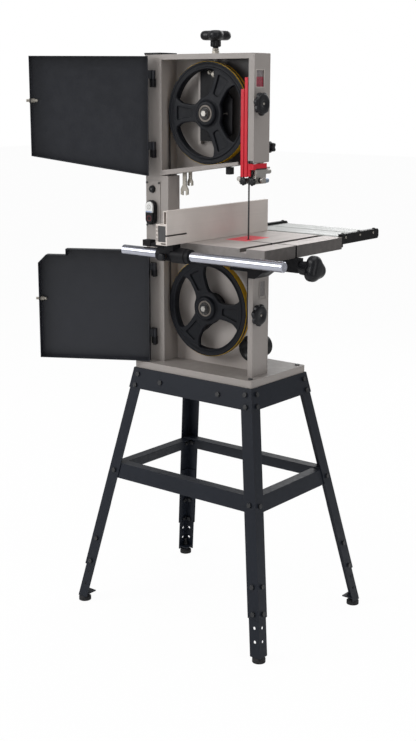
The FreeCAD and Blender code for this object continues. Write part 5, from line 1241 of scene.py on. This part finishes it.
def lower_window_frame():
    """Frame and sunken smoked pane on the lower post's +X side."""
    piece = Piece("body", "smoke").facing("x")
    piece.plate(rounded(-4.5, 21.5, 889.0, 933.0, 2.5), POST_SIDE_X - 0.3, POST_SIDE_X + 0.9,
                bevel=0.5, holes=[rounded(-1.4, 18.4, 892.2, 929.8, 1.5)])
    pane = rounded(-1.2, 18.2, 892.4, 929.6, 1.2)
    piece.plate(pane, POST_SIDE_X - 0.2, POST_SIDE_X + 0.25, bevel=0.1, steps=1, slot=1)
    piece.finish("lower_window_frame", "frame")


def socket_screw(piece, axis, place, radius, height, slot):
    """A round-headed screw standing out of a face; its socket, a flat dark hexagon painted as the
    shade of the hollow, takes the next slot.
    """
    piece.facing(axis, place)
    head = [(radius, -0.2), (radius, height * 0.55), (radius * 0.72, height * 0.92),
            (radius * 0.4, height), (0, height)]
    piece.turn(head, 24, fillet=radius * 0.15, steps=2, slot=slot)
    # painted shade: a flat dark hexagon for the socket's hollow
    piece.plate(hexagon(radius * 0.8), height - 0.1, height + 0.12, bevel=0.05, steps=1,
                slot=slot + 1)


def extension_screws():
    """Screws on the outer sides and tops of the sliding extension's arms."""
    lo, hi = box_mm("extension_arms")
    top = hi[2] - 0.2
    piece = Piece("zinc", "seal", "plastic", "seal")
    for axis, side_x, top_x in (("x", hi[0], hi[0] - TOP_SCREW_INSET),
                                ("-x", lo[0], lo[0] + TOP_SCREW_INSET)):
        for y in SIDE_SCREW_YS:
            socket_screw(piece, axis, (side_x, y, SIDE_SCREW_Z), radius=3.0, height=1.6, slot=0)
        for y in TOP_SCREW_YS:
            socket_screw(piece, "z", (top_x, y, top), radius=4.2, height=2.6, slot=2)
    piece.finish("extension_screws", "extension")


def guide_gasket():
    """Black strips between the guard bracket and the guide block, and a small round screw."""
    piece = Piece("rubber", "steel").facing("x")
    piece.plate(rounded(-15.2, 27.0, 1206.4, 1209.6, 0.6), 156.6, 158.7, bevel=0.3, steps=2)
    piece.facing("-y")
    piece.plate(rounded(145.2, 158.4, 1206.4, 1209.6, 0.6), 14.6, 16.4, bevel=0.3, steps=2)
    piece.plate(rounded(143.6, 146.2, 1180.0, 1209.0, 0.6), 14.6, 21.8, bevel=0.3, steps=2)
    piece.facing("-y", (149.8, 0, 1198.5))
    ring = [(3.4, 14.9), (3.4, 15.5), (4.6, 15.5), (4.6, 14.9)]
    piece.turn(ring, 28, fillet=0.1, steps=1, slot=1)
    piece.turn([(3.4, 14.9), (3.4, 15.1), (0, 15.1)], 28, fillet=0.1, steps=1)
    piece.finish("guide_gasket", "guide_post")


def carriage_bolts():
    """Two hexagon bolts with washers on the tension carriage."""
    piece = Piece("cast", "zinc")
    for x, z, half in CARRIAGE_BOLTS:
        piece.facing("-y", (x, 0, z))
        washer = [(half + 2.5, -17.9), (half + 2.5, -16.6), (half + 0.5, -16.4)]
        piece.turn(washer, 28, fillet=0.3, steps=2, slot=1)
        piece.hex_head(2 * half, -16.6, -13.0, slot=1, turn=0.2)
    piece.finish("carriage_bolts", "tension_carriage")


def fence_end_block():
    """Dark speckled block in the open front end of the fence extrusion, painted shade of the
    hollow inside it.
    """
    lo, hi = box_mm("fence")
    front = -lo[1]
    piece = Piece("speckled").facing("-y")
    outline = rounded(lo[0] + 6.2, hi[0] - 5.0, lo[2] + 8.3, lo[2] + 46.3, 1.0)
    piece.plate(outline, front - 14.0, front - 1.2, bevel=0.6, steps=2)
    piece.finish("fence_end_block", "fence")


ground_guide_rail()
tracking_window_frame()
lower_window_frame()
extension_screws()
guide_gasket()
carriage_bolts()
fence_end_block()

# ------------------------------------------------------------------ floor and world
FLOOR_HALF = 20.0
FLOOR_Z = -0.0005


def shader_tools(owner):
    """Clears an owner's node tree; returns functions that add a node and link two sockets."""
    owner.use_nodes = True
    tree = owner.node_tree
    tree.nodes.clear()

    def add(kind, **inputs):
        node = tree.nodes.new("ShaderNode" + kind)
        for key, value in inputs.items():
            node.inputs[key.replace("_", " ")].default_value = value
        return node

    return add, tree.links.new


def floor_material():
    """Pale diffuse floor that glows almost white to the camera alone."""
    material = bpy.data.materials.new("floor_pale")
    add, link = shader_tools(material)
    output = add("OutputMaterial")
    mix = add("MixShader")
    glow = add("Emission", Color=(1, 1, 1, 1), Strength=1.0)
    diffuse = add("BsdfDiffuse", Color=(0.86, 0.86, 0.86, 1))
    light_path = add("LightPath")
    share = add("Math")
    share.operation = "MULTIPLY"
    share.inputs[1].default_value = 0.96  # share of glow that the camera sees
    link(light_path.outputs["Is Camera Ray"], share.inputs[0])
    link(share.outputs[0], mix.inputs[0])
    link(diffuse.outputs[0], mix.inputs[1])
    link(glow.outputs[0], mix.inputs[2])
    link(mix.outputs[0], output.inputs["Surface"])
    return material


def floor():
    mesh = bpy.data.meshes.new("floor")
    corners = [(-1, -1), (1, -1), (1, 1), (-1, 1)]
    mesh.from_pydata([(x * FLOOR_HALF, y * FLOOR_HALF, FLOOR_Z) for x, y in corners],
                     [], [(0, 1, 2, 3)])
    obj = bpy.data.objects.new("floor", mesh)
    bpy.context.scene.collection.objects.link(obj)
    mesh.materials.append(floor_material())


def studio_world():
    """White to the camera; a soft grey-to-white gradient, brighter above, for lighting."""
    world = bpy.data.worlds.new("studio")
    bpy.context.scene.world = world
    add, link = shader_tools(world)
    output = add("OutputWorld")
    seen = add("Background", Color=(1, 1, 1, 1), Strength=1.0)
    lighting = add("Background", Strength=0.5)
    coord = add("TexCoord")
    axes = add("SeparateXYZ")
    ramp = add("ValToRGB")
    low, high = ramp.color_ramp.elements
    low.position, low.color = 0.35, (0.55, 0.55, 0.57, 1)
    high.position, high.color = 0.8, (1.0, 1.0, 1.0, 1)
    height = add("MapRange", From_Min=-1.0, From_Max=1.0)
    link(coord.outputs["Generated"], axes.inputs[0])
    link(axes.outputs["Z"], height.inputs["Value"])
    link(height.outputs[0], ramp.inputs[0])
    link(ramp.outputs[0], lighting.inputs["Color"])
    mix = add("MixShader")
    light_path = add("LightPath")
    link(light_path.outputs["Is Camera Ray"], mix.inputs[0])
    link(lighting.outputs[0], mix.inputs[1])
    link(seen.outputs[0], mix.inputs[2])
    link(mix.outputs[0], output.inputs["Surface"])


floor()
studio_world()


# ------------------------------------------------------------------ lights and camera
def area_light(name, place, target, size, power):
    light = bpy.data.lights.new(name, "AREA")
    light.shape = "RECTANGLE"
    light.size, light.size_y = size
    light.energy = power
    obj = bpy.data.objects.new(name, light)
    bpy.context.scene.collection.objects.link(obj)
    obj.location = place
    obj.rotation_mode = "QUATERNION"
    obj.rotation_quaternion = (Vector(target) - Vector(place)).to_track_quat("-Z", "Y")


area_light("key_left", place=(-2.2, -3.4, 2.6), target=(0, 0, 1.1), size=(2.2, 2.6), power=95)
area_light("fill_right", place=(3.4, -1.2, 1.8), target=(0.1, 0, 1.0), size=(1.6, 2.6), power=20)
area_light("top_soft", place=(0.3, -0.3, 3.6), target=(0, 0, 1.0), size=(2.6, 2.6), power=40)
area_light("back_rim", place=(-0.6, 3.2, 2.4), target=(0, 0, 1.2), size=(2.6, 1.6), power=40)

CAMERA_PLACE = (1.896242, -2.401360, 1.403951)
CAMERA_HEADING = math.radians(38.337416)  # turned left from +Y
CAMERA_PITCH = math.radians(13.377998)  # downward
CAMERA_ROLL = math.radians(0.151652)
CAMERA_LENS = 57.91385368  # mm, on a 36 mm sensor


def camera():
    """View from the front and the +X side, slightly above the table."""
    heading, pitch, roll = CAMERA_HEADING, CAMERA_PITCH, CAMERA_ROLL
    forward = Vector((-math.sin(heading) * math.cos(pitch),
                      math.cos(heading) * math.cos(pitch), -math.sin(pitch)))
    right = Vector((math.cos(heading), math.sin(heading), 0))
    up = right.cross(forward)
    rolled_right = math.cos(roll) * right + math.sin(roll) * up
    rolled_up = -math.sin(roll) * right + math.cos(roll) * up
    data = bpy.data.cameras.new("camera")
    data.sensor_width = 36.0
    data.sensor_fit = "AUTO"
    data.lens = CAMERA_LENS
    data.clip_end = 100.0
    obj = bpy.data.objects.new("camera", data)
    scene = bpy.context.scene
    scene.collection.objects.link(obj)
    rotation = Matrix((rolled_right, rolled_up, -forward)).transposed().to_4x4()
    obj.matrix_world = Matrix.Translation(CAMERA_PLACE) @ rotation
    scene.camera = obj
    scene.view_settings.view_transform = "Standard"
    scene.view_settings.look = "None"


camera()

bpy.context.view_layer.update()
